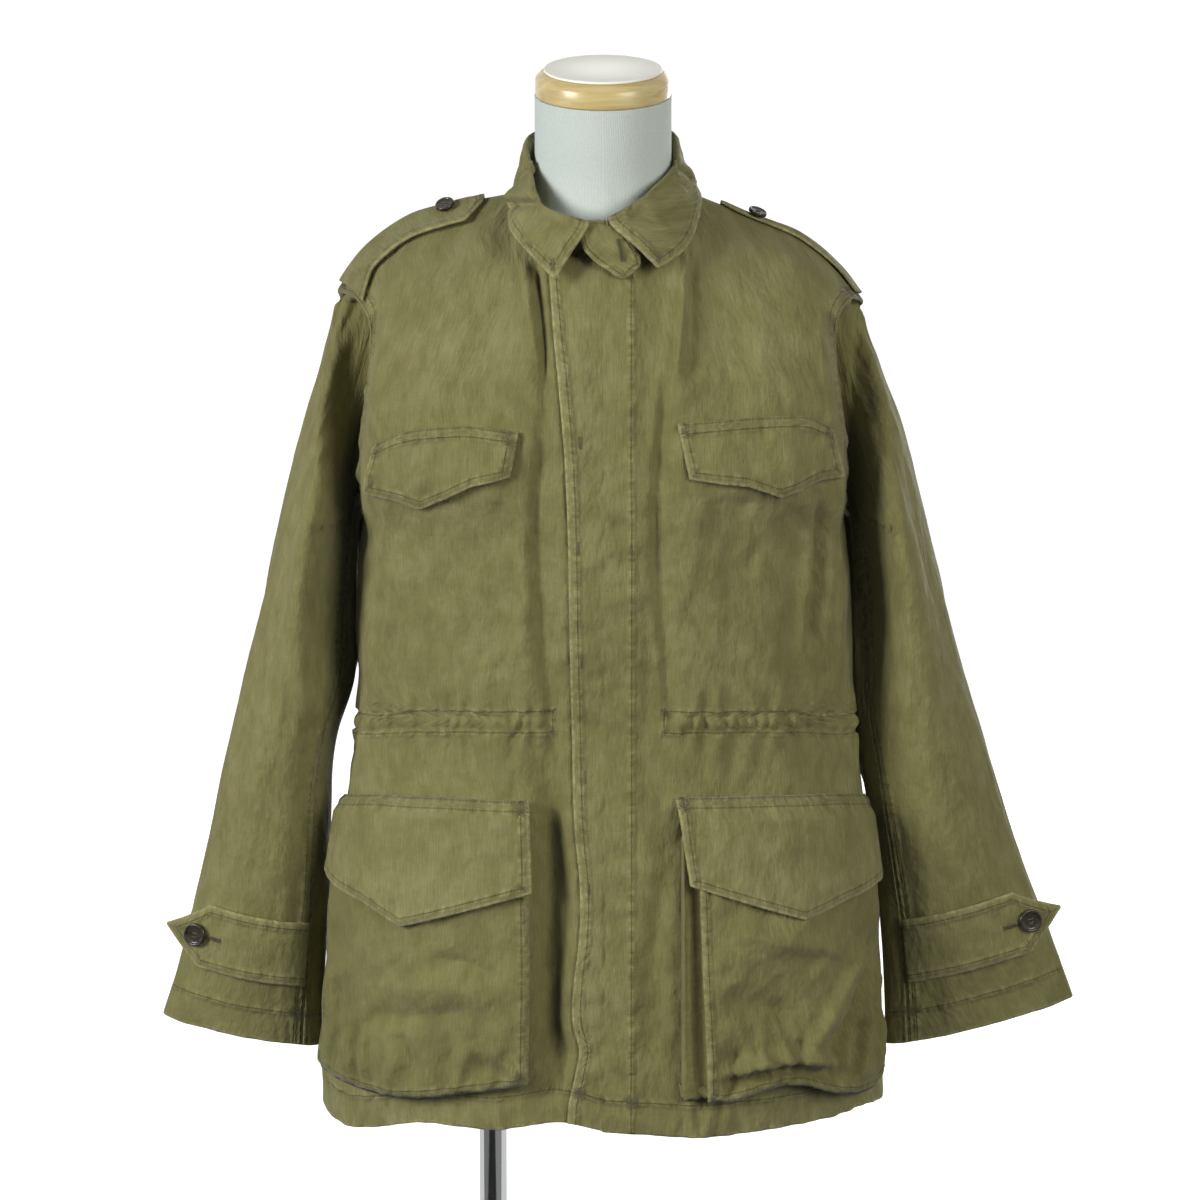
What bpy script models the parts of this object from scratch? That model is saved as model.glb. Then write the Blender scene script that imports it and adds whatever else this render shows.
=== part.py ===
"""Field jacket on a limbless dress form, with a pole and a round base.

Units are metres, +Z is up and the jacket's front faces -Y. The origin is the middle of the base's
underside. "right" and "left" are the wearer's own, so the right side of the jacket lies at -X.

The jacket is one sheet, worked out as grids of points that meet at the seams. Each panel is cut
from it and given its wall, so that two panels end a seam's gap apart. Whatever lies on a panel is
worked out from that panel's own points, moved out.
"""

import math

import bmesh
import bpy
import numpy as np
from mathutils import Matrix, Vector

# ---- cloth -------------------------------------------------------------------------------------
CLOTH = 0.0016          # wall of a panel
DOUBLE_CLOTH = 0.0020   # wall of a flap, strap, tab or collar, which are sewn double
SEAM_GAP = 0.0003       # between two panels at a seam
LAY_GAP = 0.0007        # between a panel and what lies on it
LIE_ON_PANEL = CLOTH / 2 + LAY_GAP + DOUBLE_CLOTH / 2   # between the middles of their walls
TOUCH_GAP = 0.0003      # between two hard pieces that meet

# ---- body --------------------------------------------------------------------------------------
HEM = 0.296             # height of the bottom edge above the floor
CASING = 0.632          # height of the middle of the waist casing
CASING_WIDTH = 0.021    # between its two rows of stitching
UNDERARM = 0.800
SQUARENESS = 2.3        # exponent of the body's rounded section, 2 being an ellipse
NECK_COLUMNS_FRONT = 12  # columns of points between the middle line and the neck point
NECK_COLUMNS_BACK = 6
SHOULDER_COLUMNS = 12   # from the neck point to the shoulder tip
YOKE_ROWS = 9           # rows of points between the underarm and the shoulder
NECK_FADE = {"front": 2.0, "back": 3.0}   # how quickly the neck point's corner dies away downwards
GATHER_DEPTH = 0.0022   # of the gathers above and below the casing
GATHER_REACH = 0.034    # height over which they die away
CASING_RAISE = 0.0022   # of the casing's middle, between its two rows of stitching
HEM_WAVE = 0.0030       # height of the waves round the bottom edge
HEM_WAVE_LENGTH = 0.214
HEM_WAVE_REACH = 0.160  # height over which they die away
SEAM_FLAT = 0.020       # width beside a side seam over which folds and gathers die away

# ---- front closure -----------------------------------------------------------------------------
FLY_RAISE = 0.0027      # the left front passes this far outside the right one
FLY_INNER = 0.024       # its inner row of stitching, from the middle line
FLY_SLOPE = 0.014       # width over which it comes back to the body's own surface
FLY_FLAT = 0.016        # width beside the fly over which folds die away
FLY_TOP_DROP = 0.30     # share of a row of points by which its top edge stays below the neck seam
UNDERLAP = 0.016        # the right front passes this far behind the left one

# ---- form and stand ----------------------------------------------------------------------------
FORM_CLEAR = 0.011      # between the form and the cloth, away from the shoulders
FORM_REST = 0.0005      # between them along the shoulder seams, which carry the jacket
FORM_REST_REACH = 0.060  # distance from those seams at which the full gap is reached
FORM_END = 0.012        # depth of the form's rounded-off bottom
ARM_END = 0.002         # and of its armhole ends
FORM_INSET = 0.022      # width of their rounding
FORM_HEIGHTS = (0.372, 0.450, 0.550, 0.632, 0.710, UNDERARM)
FORM_COLUMNS = 8        # columns of points along each shoulder seam
FORM_YOKE_ROWS = 6
NECK_RADIUS = 0.0578
NECK_TILT = math.radians(12.0)   # the neck's top looks forward by this angle
NECK_TOP = Vector((0.0, -0.024, 1.161))
NECK_RINGS = (0.070, 0.035, 0.0)   # their distances below the neck's top, along its axis
CAP_RADIUS = 0.0572
CAP_HEIGHT = 0.0200
CAP_CHAMFER = 0.0055
DISC_RADIUS = 0.0500
DISC_HEIGHT = 0.0022
POLE_RADIUS = 0.0118
POLE_X = -0.096
FLANGE_RADIUS = 0.034
FLANGE_HEIGHT = 0.014
BASE_RADIUS = 0.190
BASE_HEIGHT = 0.012
BASE_CHAMFER = 0.003

# ---- buttons -----------------------------------------------------------------------------------
BUTTON_RADIUS = 0.0102
BUTTON_HEIGHT = 0.0036
BUTTON_RIM = 0.0022
BUTTON_BEVEL = 0.0012   # of its lower edge, and the depth of its dished middle
BUTTON_GAP = 0.0004     # between its thread shank and the cloth
BUTTON_SHANK = (0.0030, 0.0013)   # radius and height of the thread that it stands on
BUTTON_SIDES = 16
STRAP_BUTTON_SIZE = 0.82   # share of a cuff button's size

COLOURS = {
    "olive cotton": ((0.150, 0.140, 0.085), 0.90, 0.0),
    "brown horn": ((0.045, 0.028, 0.018), 0.30, 0.0),
    "knit cover": ((0.62, 0.63, 0.64), 0.85, 0.0),
    "turned wood": ((0.42, 0.25, 0.13), 0.45, 0.0),
    "cream disc": ((0.72, 0.66, 0.54), 0.55, 0.0),
    "chrome": ((0.80, 0.80, 0.82), 0.12, 1.0),
    "black base": ((0.03, 0.03, 0.032), 0.40, 0.6),
}

OUTWARD = {"right": -1.0, "left": 1.0}
FACING = {"front": -1.0, "back": 1.0}


def table(names, rows):
    """A table with named columns, as one array for each column."""
    return dict(zip(names.split(), np.array(rows, dtype=float).T))


# Half widths and depths of the body, hem to underarm.
BODY = table("height right left front back", (
    (0.296, 0.2425, 0.2435, 0.140, 0.142),
    (0.360, 0.2400, 0.2405, 0.139, 0.140),
    (0.460, 0.2315, 0.2345, 0.136, 0.135),
    (0.560, 0.2200, 0.2240, 0.130, 0.127),
    (0.632, 0.2075, 0.2150, 0.122, 0.116),
    (0.700, 0.2120, 0.2135, 0.127, 0.121),
    (0.760, 0.2095, 0.2105, 0.130, 0.125),
    (0.800, 0.2050, 0.2050, 0.131, 0.127),
))
# How the hem of each front rises and drops round the body from the middle line.
HEM_LINE = {
    "right": table("along rise", ((0.000, 0.000), (0.032, 0.007), (0.090, 0.000), (0.160, 0.000),
                                  (0.215, -0.011), (0.236, -0.013), (0.262, -0.008),
                                  (0.290, 0.000), (0.330, 0.000))),
    "left": table("along rise", ((0.000, -0.001), (0.032, -0.003), (0.070, -0.006),
                                 (0.115, -0.006), (0.170, -0.003), (0.200, 0.000),
                                 (0.236, 0.005), (0.270, 0.003), (0.330, 0.000))),
}
HEM_REACH = 0.060       # height over which the hem's line dies away
# Heights of the rows of points up to the underarm, closer together about the casing.
ROW_HEIGHTS = (HEM, 0.340, 0.395, 0.450, 0.505, 0.560, 0.600,
               CASING - CASING_WIDTH / 2, CASING, CASING + CASING_WIDTH / 2,
               0.662, 0.700, 0.748, UNDERARM)
# How far the front edge of the left front passes the middle line.
FLY = table("height overlap", (
    (0.296, 0.031), (0.330, 0.025), (0.400, 0.025), (0.490, 0.020), (0.580, 0.025),
    (0.720, 0.028), (0.820, 0.030), (0.920, 0.037), (1.020, 0.050),
))
# The middle lines, neck seam, shoulder seams and armholes, all with x positive outwards.
MIDDLE = {
    "front": table("x y z", ((0, -0.131, 0.800), (0, -0.129, 0.860), (0, -0.123, 0.920),
                             (0, -0.108, 0.980), (0, -0.083, 1.032))),
    "back": table("x y z", ((0, 0.127, 0.800), (0, 0.132, 0.870), (0, 0.133, 0.940),
                            (0, 0.121, 1.010), (0, 0.098, 1.060), (0, 0.071, 1.091))),
}
NECKLINE = {
    "front": table("x y z", ((0, -0.083, 1.032), (0.032, -0.074, 1.036), (0.060, -0.044, 1.053),
                             (0.074, 0.000, 1.077))),
    "back": table("x y z", ((0, 0.071, 1.091), (0.035, 0.063, 1.091), (0.062, 0.036, 1.087),
                            (0.074, 0.000, 1.077))),
}
SHOULDER = {
    "right": table("x y z", ((0.074, 0.000, 1.077), (0.124, 0.003, 1.067), (0.168, 0.005, 1.053),
                             (0.203, 0.006, 1.026), (0.225, 0.004, 0.996))),
    "left": table("x y z", ((0.074, 0.000, 1.077), (0.124, 0.003, 1.057), (0.168, 0.005, 1.039),
                            (0.201, 0.006, 1.012), (0.221, 0.004, 0.986))),
}
ARMHOLE = {
    "front": table("x y z", ((0.205, 0.000, 0.800), (0.205, -0.040, 0.810), (0.205, -0.070, 0.840),
                             (0.203, -0.084, 0.885), (0.197, -0.082, 0.930),
                             (0.196, -0.067, 0.966), (0.208, -0.037, 0.988))),
    "back": table("x y z", ((0.205, 0.000, 0.800), (0.205, 0.038, 0.810), (0.206, 0.068, 0.838),
                            (0.205, 0.084, 0.880), (0.203, 0.083, 0.925),
                            (0.205, 0.068, 0.961), (0.213, 0.040, 0.986))),
}
# Rings of the sleeves from armhole to cuff: their outermost point in the plane y = middle, how far
# clear of the body their innermost point hangs, its height, and the half depth of the ring.
SLEEVE = {
    "right": table("outer_x outer_z inner_gap inner_z half_depth middle", (
        (0.225, 0.996, -0.0016, 0.800, 0.085, 0.000),
        (0.232, 0.973, 0.0030, 0.797, 0.090, 0.001),
        (0.242, 0.936, 0.0040, 0.789, 0.092, 0.002),
        (0.254, 0.890, 0.0035, 0.776, 0.091, 0.004),
        (0.271, 0.825, 0.0020, 0.752, 0.087, 0.006),
        (0.286, 0.760, 0.0012, 0.716, 0.082, 0.008),
        (0.302, 0.695, 0.0030, 0.668, 0.077, 0.010),
        (0.317, 0.630, 0.0185, 0.612, 0.071, 0.012),
        (0.332, 0.565, 0.0130, 0.548, 0.065, 0.012),
        (0.346, 0.502, 0.0070, 0.482, 0.058, 0.011),
        (0.360, 0.443, 0.0050, 0.420, 0.050, 0.010),
        (0.373, 0.397, 0.0035, 0.370, 0.043, 0.009),
        (0.383, 0.364, 0.0025, 0.337, 0.038, 0.009),
    )),
    "left": table("outer_x outer_z inner_gap inner_z half_depth middle", (
        (0.221, 0.986, -0.0016, 0.800, 0.085, 0.000),
        (0.226, 0.964, 0.0030, 0.797, 0.090, 0.001),
        (0.239, 0.930, 0.0040, 0.789, 0.092, 0.002),
        (0.255, 0.883, 0.0030, 0.776, 0.091, 0.004),
        (0.271, 0.822, 0.0015, 0.752, 0.087, 0.006),
        (0.287, 0.760, 0.0012, 0.716, 0.082, 0.008),
        (0.304, 0.697, 0.0012, 0.668, 0.077, 0.010),
        (0.321, 0.634, 0.0015, 0.612, 0.070, 0.011),
        (0.342, 0.566, 0.0025, 0.548, 0.062, 0.010),
        (0.363, 0.502, 0.0040, 0.482, 0.054, 0.008),
        (0.383, 0.449, 0.0050, 0.420, 0.044, 0.006),
        (0.399, 0.409, 0.0045, 0.371, 0.036, 0.005),
        (0.409, 0.380, 0.0035, 0.338, 0.032, 0.005),
    )),
}
SLEEVE_HEAD_RINGS = 5   # rings over which the armhole's own outline turns into the sleeve's
FRONT_SEAM, BACK_SEAM = 7, 6   # columns from the top of the armhole to the sleeve's two seams

# The collar, front end to middle of the back: its roll line and its outer edge.
COLLAR = table("roll_x roll_y roll_z edge_x edge_y edge_z", (
    (0.009, -0.094, 1.061, 0.041, -0.110, 1.011),
    (0.028, -0.084, 1.075, 0.062, -0.092, 1.027),
    (0.045, -0.062, 1.088, 0.078, -0.062, 1.048),
    (0.0585, -0.032, 1.102, 0.083, -0.032, 1.069),
    (0.0610, 0.003, 1.117, 0.0815, 0.008, 1.086),
    (0.0580, 0.036, 1.127, 0.0785, 0.046, 1.078),
    (0.040, 0.064, 1.131, 0.057, 0.089, 1.066),
    (0.000, 0.076, 1.133, 0.000, 0.107, 1.061),
))
COLLAR_COLUMNS = 14     # in each half
COLLAR_START = 0.07     # where its front end stands, as a share of the neck seam
COLLAR_LIFT = 0.0016    # of its lower edge above the middle of the fronts' and back's cloth
ROLL_HALF = 0.0020      # half the width of the fold at its roll line
ROLL_DROP = 0.0032      # from the fold's top to where its two sides start

# Corners of the throat tab that shows between the ends of the collar.
THROAT_TAB = {
    "top_right": (-0.014, -0.0940, 1.054), "top_left": (0.022, -0.0935, 1.049),
    "end_right": (0.010, -0.0992, 1.013), "end_left": (0.033, -0.0965, 1.022),
}

# The largest folds, ridges up and troughs down, as straight runs on a panel. "along" is measured
# round the body from the middle line and "height" from the floor.
FOLDS = {
    ("right", "front"): table("along height to_along to_height width rise", (
        (0.072, 1.020, 0.056, 0.905, 0.012, 0.0060),
        (0.050, 0.985, 0.044, 0.890, 0.010, -0.0045),
        (0.056, 0.870, 0.066, 0.760, 0.020, -0.0035),
        (0.060, 0.735, 0.042, 0.660, 0.016, -0.0035),
        (0.150, 1.000, 0.185, 0.930, 0.018, 0.0030),
    )),
    ("left", "front"): table("along height to_along to_height width rise", (
        (0.078, 1.035, 0.064, 0.925, 0.014, 0.0055),
        (0.060, 0.890, 0.044, 0.740, 0.018, -0.0040),
        (0.140, 0.800, 0.110, 0.690, 0.022, -0.0030),
    )),
    ("right", "back"): table("along height to_along to_height width rise", (
        (0.170, 0.960, 0.150, 0.760, 0.020, 0.0045),
        (0.060, 0.780, 0.075, 0.670, 0.022, -0.0035),
    )),
    ("left", "back"): table("along height to_along to_height width rise", (
        (0.165, 0.950, 0.155, 0.740, 0.022, 0.0045),
        (0.085, 0.790, 0.065, 0.665, 0.020, -0.0035),
    )),
}
# Lengthwise folds of the sleeves: the place round the sleeve, 0 at its outer line and 1 or -1 at
# the underarm, negative at the front, and the share of the length between which the fold runs.
SLEEVE_FOLDS = {
    "right": table("turn from_share to_share width rise", (
        (-0.45, 0.10, 0.62, 0.12, 0.0050), (-0.28, 0.20, 0.75, 0.10, -0.0040),
        (0.40, 0.15, 0.70, 0.14, 0.0045))),
    "left": table("turn from_share to_share width rise", (
        (-0.40, 0.06, 0.50, 0.12, 0.0055), (-0.24, 0.16, 0.80, 0.10, -0.0040),
        (0.42, 0.15, 0.70, 0.14, 0.0045))),
}

# Flaps, sewn along their top edge: the place of the inner end, the width, the top's height at the
# inner and outer end, the depth at the sides and at the point, and how far the bottom edge stands
# off what is under it.
FLAPS = {
    "chest_flap_right": dict(side="right", inner=0.075, width=0.134, top=(0.889, 0.874),
                             depth=(0.046, 0.069), stand_off=0.0030, pocket=None),
    "chest_flap_left": dict(side="left", inner=0.064, width=0.138, top=(0.893, 0.886),
                            depth=(0.046, 0.068), stand_off=0.0045, pocket=None),
    "lower_flap_right": dict(side="right", inner=0.062, width=0.208, top=(0.578, 0.574),
                             depth=(0.082, 0.107), stand_off=0.0010,
                             pocket="lower_pocket_right"),
    "lower_flap_left": dict(side="left", inner=0.062, width=0.203, top=(0.579, 0.572),
                            depth=(0.080, 0.108), stand_off=0.0015, pocket="lower_pocket_left"),
}
FLAP_ROWS, FLAP_COLUMNS = 4, 10
# Bellows pockets: inner end, width, top and bottom height, how far the front sheet stands off at
# its inner edge, middle and outer edge, and how far its inner edge has moved along the body.
POCKETS = {
    "lower_pocket_right": dict(side="right", inner=0.064, width=0.204, top=0.546, bottom=0.337,
                               stand=(0.0060, 0.0100, 0.0070), moved=0.001),
    "lower_pocket_left": dict(side="left", inner=0.064, width=0.199, top=0.546, bottom=0.337,
                              stand=(0.0140, 0.0190, 0.0060), moved=0.017),
}
POCKET_COLUMNS, POCKET_ROWS = 10, 6
POCKET_MOUTH = 0.55     # share of the stand-off that is left at the pocket's mouth
POCKET_FOLD = 0.005     # height of the fold along its bottom
POCKET_TUCK = 0.0022    # by which its sides lean in from where they are sewn
FLAP_CLEAR = 0.0003     # added to a flap's gap, because it bends round the body
FLAP_OVER = 0.014       # height above a pocket's mouth at which its flap is already clear of it

# Shoulder straps, from their point to the armhole: share of the shoulder seam, and how far they
# reach in front of it and behind it.
STRAP = table("share front back", ((0.150, 0.006, 0.003), (0.235, 0.029, 0.016),
                                   (0.600, 0.033, 0.018), (0.970, 0.040, 0.022)))
STRAP_SPACE = 0.03      # least space between its ends and its next points, as a share of the seam
STRAP_CLEAR = 0.0003    # added to its gap, because it bends over the seam
STRAP_ROWS = (-1.0, -0.88, -0.5, 0.0, 0.5, 1.0)   # across it, -1 its front edge and 1 its back one
STRAP_BUTTON = (0.20, 2.1)   # place of its button, as a share of its length and a row across

# Cuff tabs. A turn is a place round the sleeve, 0 at its outer line and -1 at the underarm.
TAB_RISE = 0.083         # of its middle above the cuff's edge
TAB_HALF = 0.0285
TAB_SEWN, TAB_TIP = -0.760, -0.105   # turns of its sewn end and of its point
TAB_POINT = 0.26         # share of the tab that is its pointed end
TAB_BLUNT = 0.04         # width that is left at the point, as a share of the tab's
TAB_FLAT = 0.60          # share of the tab that lies on the sleeve
TAB_FLARE = 0.019        # how far the point stands off it
TAB_ROWS, TAB_COLUMNS = 4, 12
TAB_CLEAR = 0.0004       # added to its gap, because it bends round the sleeve
TAB_BUTTON = (0.80, 2.0)   # place of its button, as a share of its length and a row across


# ---- curves and grids --------------------------------------------------------------------------

def smooth(knots, values, at):
    """Values at the places `at` on a smooth curve through the given ones."""
    slopes = np.gradient(values, knots)
    at = np.clip(at, knots[0], knots[-1])
    i = np.clip(np.searchsorted(knots, at) - 1, 0, len(knots) - 2)
    span = knots[i + 1] - knots[i]
    t = (at - knots[i]) / span
    start = (2 * t ** 3 - 3 * t ** 2 + 1) * values[i] + (t ** 3 - 2 * t ** 2 + t) * span * slopes[i]
    end = (3 * t ** 2 - 2 * t ** 3) * values[i + 1] + (t ** 3 - t ** 2) * span * slopes[i + 1]
    return start + end


def lengths(points):
    """Length along a row of points, from its first one."""
    return np.concatenate(([0.0], np.cumsum(np.linalg.norm(np.diff(points, axis=0), axis=1))))


def by_length(points, places):
    """Points at the given shares of the length of a row of points."""
    run = lengths(points)
    return np.column_stack([np.interp(np.asarray(places) * run[-1], run, points[:, k])
                            for k in range(3)])


def path(points, places, sign=1.0):
    """Points at the given shares of the length of a smooth curve, x being turned to one side."""
    points = np.asarray(points, dtype=float) * (sign, 1.0, 1.0)
    knots = lengths(points)
    fine = np.linspace(0.0, knots[-1], 160)
    dense = np.column_stack([smooth(knots, points[:, k], fine) for k in range(3)])
    return by_length(dense, places)


def rows_of(columns):
    """The points of a table with columns x, y and z."""
    return np.column_stack([columns["x"], columns["y"], columns["z"]])


def normals(grid):
    """Unit normals of a grid of points, facing away from its rows' turning direction."""
    across = np.gradient(grid, axis=1)
    up = np.gradient(grid, axis=0)
    facing = np.cross(across, up)
    return facing / np.linalg.norm(facing, axis=2, keepdims=True)


def fade(distance, reach):
    """1 at no distance, falling smoothly to 0 at `reach`."""
    t = np.clip(1.0 - np.abs(distance) / reach, 0.0, 1.0)
    return t * t * (3.0 - 2.0 * t)


def spot(grid, row, column):
    """Value of a grid at a fractional row and column."""
    i = int(min(max(row, 0), grid.shape[0] - 1.000001))
    j = int(min(max(column, 0), grid.shape[1] - 1.000001))
    a, b = row - i, column - j
    low = grid[i, j] * (1 - b) + grid[i, j + 1] * b
    high = grid[i + 1, j] * (1 - b) + grid[i + 1, j + 1] * b
    return low * (1 - a) + high * a


# ---- the body's sheet --------------------------------------------------------------------------

def ring(side, face, height, places):
    """Points of a quarter of the body at one height, middle line to side seam."""
    turn = np.linspace(0.0, math.pi / 2, 80)
    half = smooth(BODY["height"], BODY[side], height)
    depth = smooth(BODY["height"], BODY[face], height)
    x = OUTWARD[side] * half * np.sin(turn) ** (2 / SQUARENESS)
    y = FACING[face] * depth * np.clip(np.cos(turn), 0.0, 1.0) ** (2 / SQUARENESS)
    return by_length(np.column_stack([x, y, np.full_like(x, height)]), places)


def top_edge(side, face, neck_columns, shoulder_columns):
    """Neck seam and shoulder seam of a quarter, middle line to shoulder tip."""
    sign = OUTWARD[side]
    neck = path(rows_of(NECKLINE[face]), np.linspace(0, 1, neck_columns + 1), sign)
    seam = path(rows_of(SHOULDER[side]), np.linspace(0, 1, shoulder_columns + 1), sign)
    return np.vstack([neck, seam[1:]])


def armhole(side, face, places):
    """Points of the armhole's front or back half, underarm to shoulder tip."""
    tip = rows_of(SHOULDER[side])[-1]
    return path(np.vstack([rows_of(ARMHOLE[face]), tip]), places, OUTWARD[side])


def quarter(side, face, neck_columns, shoulder_columns=SHOULDER_COLUMNS, heights=ROW_HEIGHTS,
            yoke_rows=YOKE_ROWS):
    """Grid of a quarter of the body: rings up to the underarm, then a patch between the underarm
    ring, the middle line, the armhole and the top edge."""
    u = np.linspace(0.0, 1.0, neck_columns + shoulder_columns + 1)
    v = np.linspace(0.0, 1.0, yoke_rows + 1)
    rings = np.array([ring(side, face, height, u) for height in heights])
    bottom, top = rings[-1], top_edge(side, face, neck_columns, shoulder_columns)
    middle = path(rows_of(MIDDLE[face]), v, OUTWARD[side])
    outer = armhole(side, face, v)
    u, v = u[None, :, None], v[:, None, None]
    corners = ((1 - u) * (1 - v) * bottom[0] + u * (1 - v) * bottom[-1]
               + (1 - u) * v * top[0] + u * v * top[-1])
    yoke = ((1 - v) * bottom[None] + v * top[None]
            + (1 - u) * middle[:, None] + u * outer[:, None] - corners)
    corner_at_neck = top - (top[0] + (top[-1] - top[0]) * u[0])
    yoke -= corner_at_neck * (v - v ** NECK_FADE[face])
    return np.vstack([rings, yoke[1:]])


def outward_normals(grid, side, face):
    """Normals of a quarter that face away from the body."""
    return normals(grid) * OUTWARD[side] * -FACING[face]


def fold_rise(folds, along, height):
    """Sum of the folds of a table at places on a panel."""
    total = np.zeros_like(along)
    for a0, h0, a1, h1, width, rise in zip(*folds.values()):
        run = np.hypot(a1 - a0, h1 - h0)
        t = ((along - a0) * (a1 - a0) + (height - h0) * (h1 - h0)) / run ** 2
        off = ((along - a0) * (h1 - h0) - (height - h0) * (a1 - a0)) / run
        total += rise * np.exp(-(off / width) ** 2) * fade(t - 0.5, 0.75)
    return total


def shape_quarter(grid, side, face):
    """The quarter with its waist gathers, casing, hem waves and folds. They die away towards the
    seams, where two panels share their points."""
    columns = grid.shape[1] - 1
    along = np.array([lengths(row) for row in grid])
    height = grid[:, :, 2].copy()
    j = np.arange(columns + 1)[None, :]
    near_seam = 1.0 - fade((along[:, -1:] - along), SEAM_FLAT)
    if face == "front":
        line = HEM_LINE[side]
        drop = smooth(line["along"], line["rise"], along)
        grid[:, :, 2] += drop * near_seam * fade(height - HEM, HEM_REACH)
    from_casing = np.abs(height - CASING) - CASING_WIDTH / 2
    gathers = np.cos(math.pi * j) * GATHER_DEPTH * fade(np.maximum(from_casing, 0), GATHER_REACH)
    gathers = gathers * (from_casing > 0.0)
    casing = CASING_RAISE * fade(height - CASING, CASING_WIDTH / 2)
    waves = np.sin(2 * math.pi * along / HEM_WAVE_LENGTH)
    hem = HEM_WAVE * waves * fade(height - HEM, HEM_WAVE_REACH)
    top_rows = 1.0 - fade(np.arange(grid.shape[0])[::-1, None], 1.5)
    folds = fold_rise(FOLDS[(side, face)], along, height) * top_rows
    fly_edge = smooth(FLY["height"], FLY["overlap"], height) + FLY_RAISE
    from_fly = np.maximum(along - fly_edge, 0)
    clear_of_middle = 1.0 if face == "back" else 1.0 - fade(from_fly, FLY_FLAT)
    rise = (gathers + casing + hem + folds * clear_of_middle) * near_seam
    return grid + outward_normals(grid, side, face) * rise[:, :, None]


def past_middle(own, other, side, face, reach, raise_by):
    """A front panel with two columns added past the middle line, taken from the other front."""
    extra = []
    for share in (1.0, 0.5):
        column = []
        for row in other:
            run = lengths(row)
            overlap = reach(row[0][2]) * share
            column.append([np.interp(overlap, run, row[:, k]) for k in range(3)])
        extra.append(column)
    extra = np.array(extra).transpose(1, 0, 2)
    extra[-1] += (extra[-2] - extra[-1]) * FLY_TOP_DROP
    grid = np.concatenate([extra, own], axis=1)
    along = np.array([lengths(row) for row in grid])
    along -= along[:, 2:3]
    lift = raise_by * (1.0 - np.clip((along - FLY_INNER) / FLY_SLOPE, 0.0, 1.0))
    return grid + normals(grid) * OUTWARD[side] * -FACING[face] * lift[:, :, None]


# ---- sleeves -----------------------------------------------------------------------------------

def sleeve_grid(side):
    """Rings of a sleeve from armhole to cuff. Each ring runs from the top of the armhole down its
    front to the underarm and up its back, and the first one is the armhole itself."""
    half = YOKE_ROWS
    share = np.linspace(1.0, 0.0, half + 1)
    hole = np.vstack([armhole(side, "front", share), armhole(side, "back", share[::-1])[1:]])
    turn = np.concatenate([np.linspace(0, -1, half + 1), np.linspace(1, 0, half + 1)[1:]])
    angle = turn * math.pi
    rings = []
    for n, (ox, oz, gap, iz, depth, middle) in enumerate(zip(*SLEEVE[side].values())):
        ix = smooth(BODY["height"], BODY[side], iz) + CLOTH + gap
        centre = np.array([(ox + ix) / 2, middle, (oz + iz) / 2])
        reach = np.array([(ox - ix) / 2, 0.0, (oz - iz) / 2])
        points = centre + np.cos(angle)[:, None] * reach
        points[:, 1] += np.sin(angle) * depth
        points[:, 0] *= OUTWARD[side]
        if n == 0:
            shift = hole - points
        points += shift * fade(n, SLEEVE_HEAD_RINGS)
        rings.append(points)
    grid = np.array(rings)
    share_down = np.linspace(0.0, 1.0, len(rings))[:, None]
    rise = np.zeros(grid.shape[:2])
    for place, start, end, width, height in zip(*SLEEVE_FOLDS[side].values()):
        centre, reach = (start + end) / 2, (end - start) / 2
        rise += (height * np.exp(-((turn[None, :] - place) / width) ** 2)
                 * fade(share_down - centre, reach))
    grid += sleeve_normals(grid, side) * rise[:, :, None]
    grid[:, -1] = grid[:, 0]
    return grid


def sleeve_normals(grid, side):
    """Outward normals of a sleeve, equal where its first and last columns meet."""
    wrapped = np.concatenate([grid[:, -2:-1], grid, grid[:, 1:2]], axis=1)
    return normals(wrapped)[:, 1:-1] * OUTWARD[side]


# ---- from sheets to solids ---------------------------------------------------------------------

def add_grid(mesh, grid, number, layer):
    """Add a grid to a mesh as four-sided faces that carry the panel's number."""
    verts = [[mesh.verts.new(point) for point in row] for row in grid]
    for low, high in zip(verts, verts[1:]):
        for j in range(len(low) - 1):
            face = mesh.faces.new((low[j], low[j + 1], high[j + 1], high[j]))
            face[layer] = number


def thicken(mesh, thickness, out, rank=None):
    """Give a sheet its wall: it is moved in by half the wall, and its copy out by the whole. With
    ranks, the faces round the wall's edge are halved by the same diagonal on both sides of a
    seam, so that two twisted edges don't cross."""
    for vert in mesh.verts:
        vert.co -= vert[out] * thickness / 2
    grown = bmesh.ops.extrude_face_region(mesh, geom=mesh.faces[:], use_keep_orig=True)
    outer = {item for item in grown["geom"] if isinstance(item, bmesh.types.BMVert)}
    for vert in outer:
        vert.co += vert[out] * thickness
    bmesh.ops.recalc_face_normals(mesh, faces=mesh.faces[:])
    if rank:
        for face in mesh.faces[:]:
            low = sorted(set(face.verts) - outer, key=lambda vert: vert[rank])
            high = sorted(set(face.verts) & outer, key=lambda vert: vert[rank])
            if len(low) == len(high) == 2:
                bmesh.utils.face_split(face, low[0], high[1])


def material(name):
    """The material of that name, made when it is first asked for."""
    if name in bpy.data.materials:
        return bpy.data.materials[name]
    colour, roughness, metallic = COLOURS[name]
    made = bpy.data.materials.new(name)
    made.use_nodes = True
    shader = made.node_tree.nodes["Principled BSDF"]
    shader.inputs["Base Color"].default_value = (*colour, 1.0)
    shader.inputs["Roughness"].default_value = roughness
    shader.inputs["Metallic"].default_value = metallic
    return made


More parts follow.
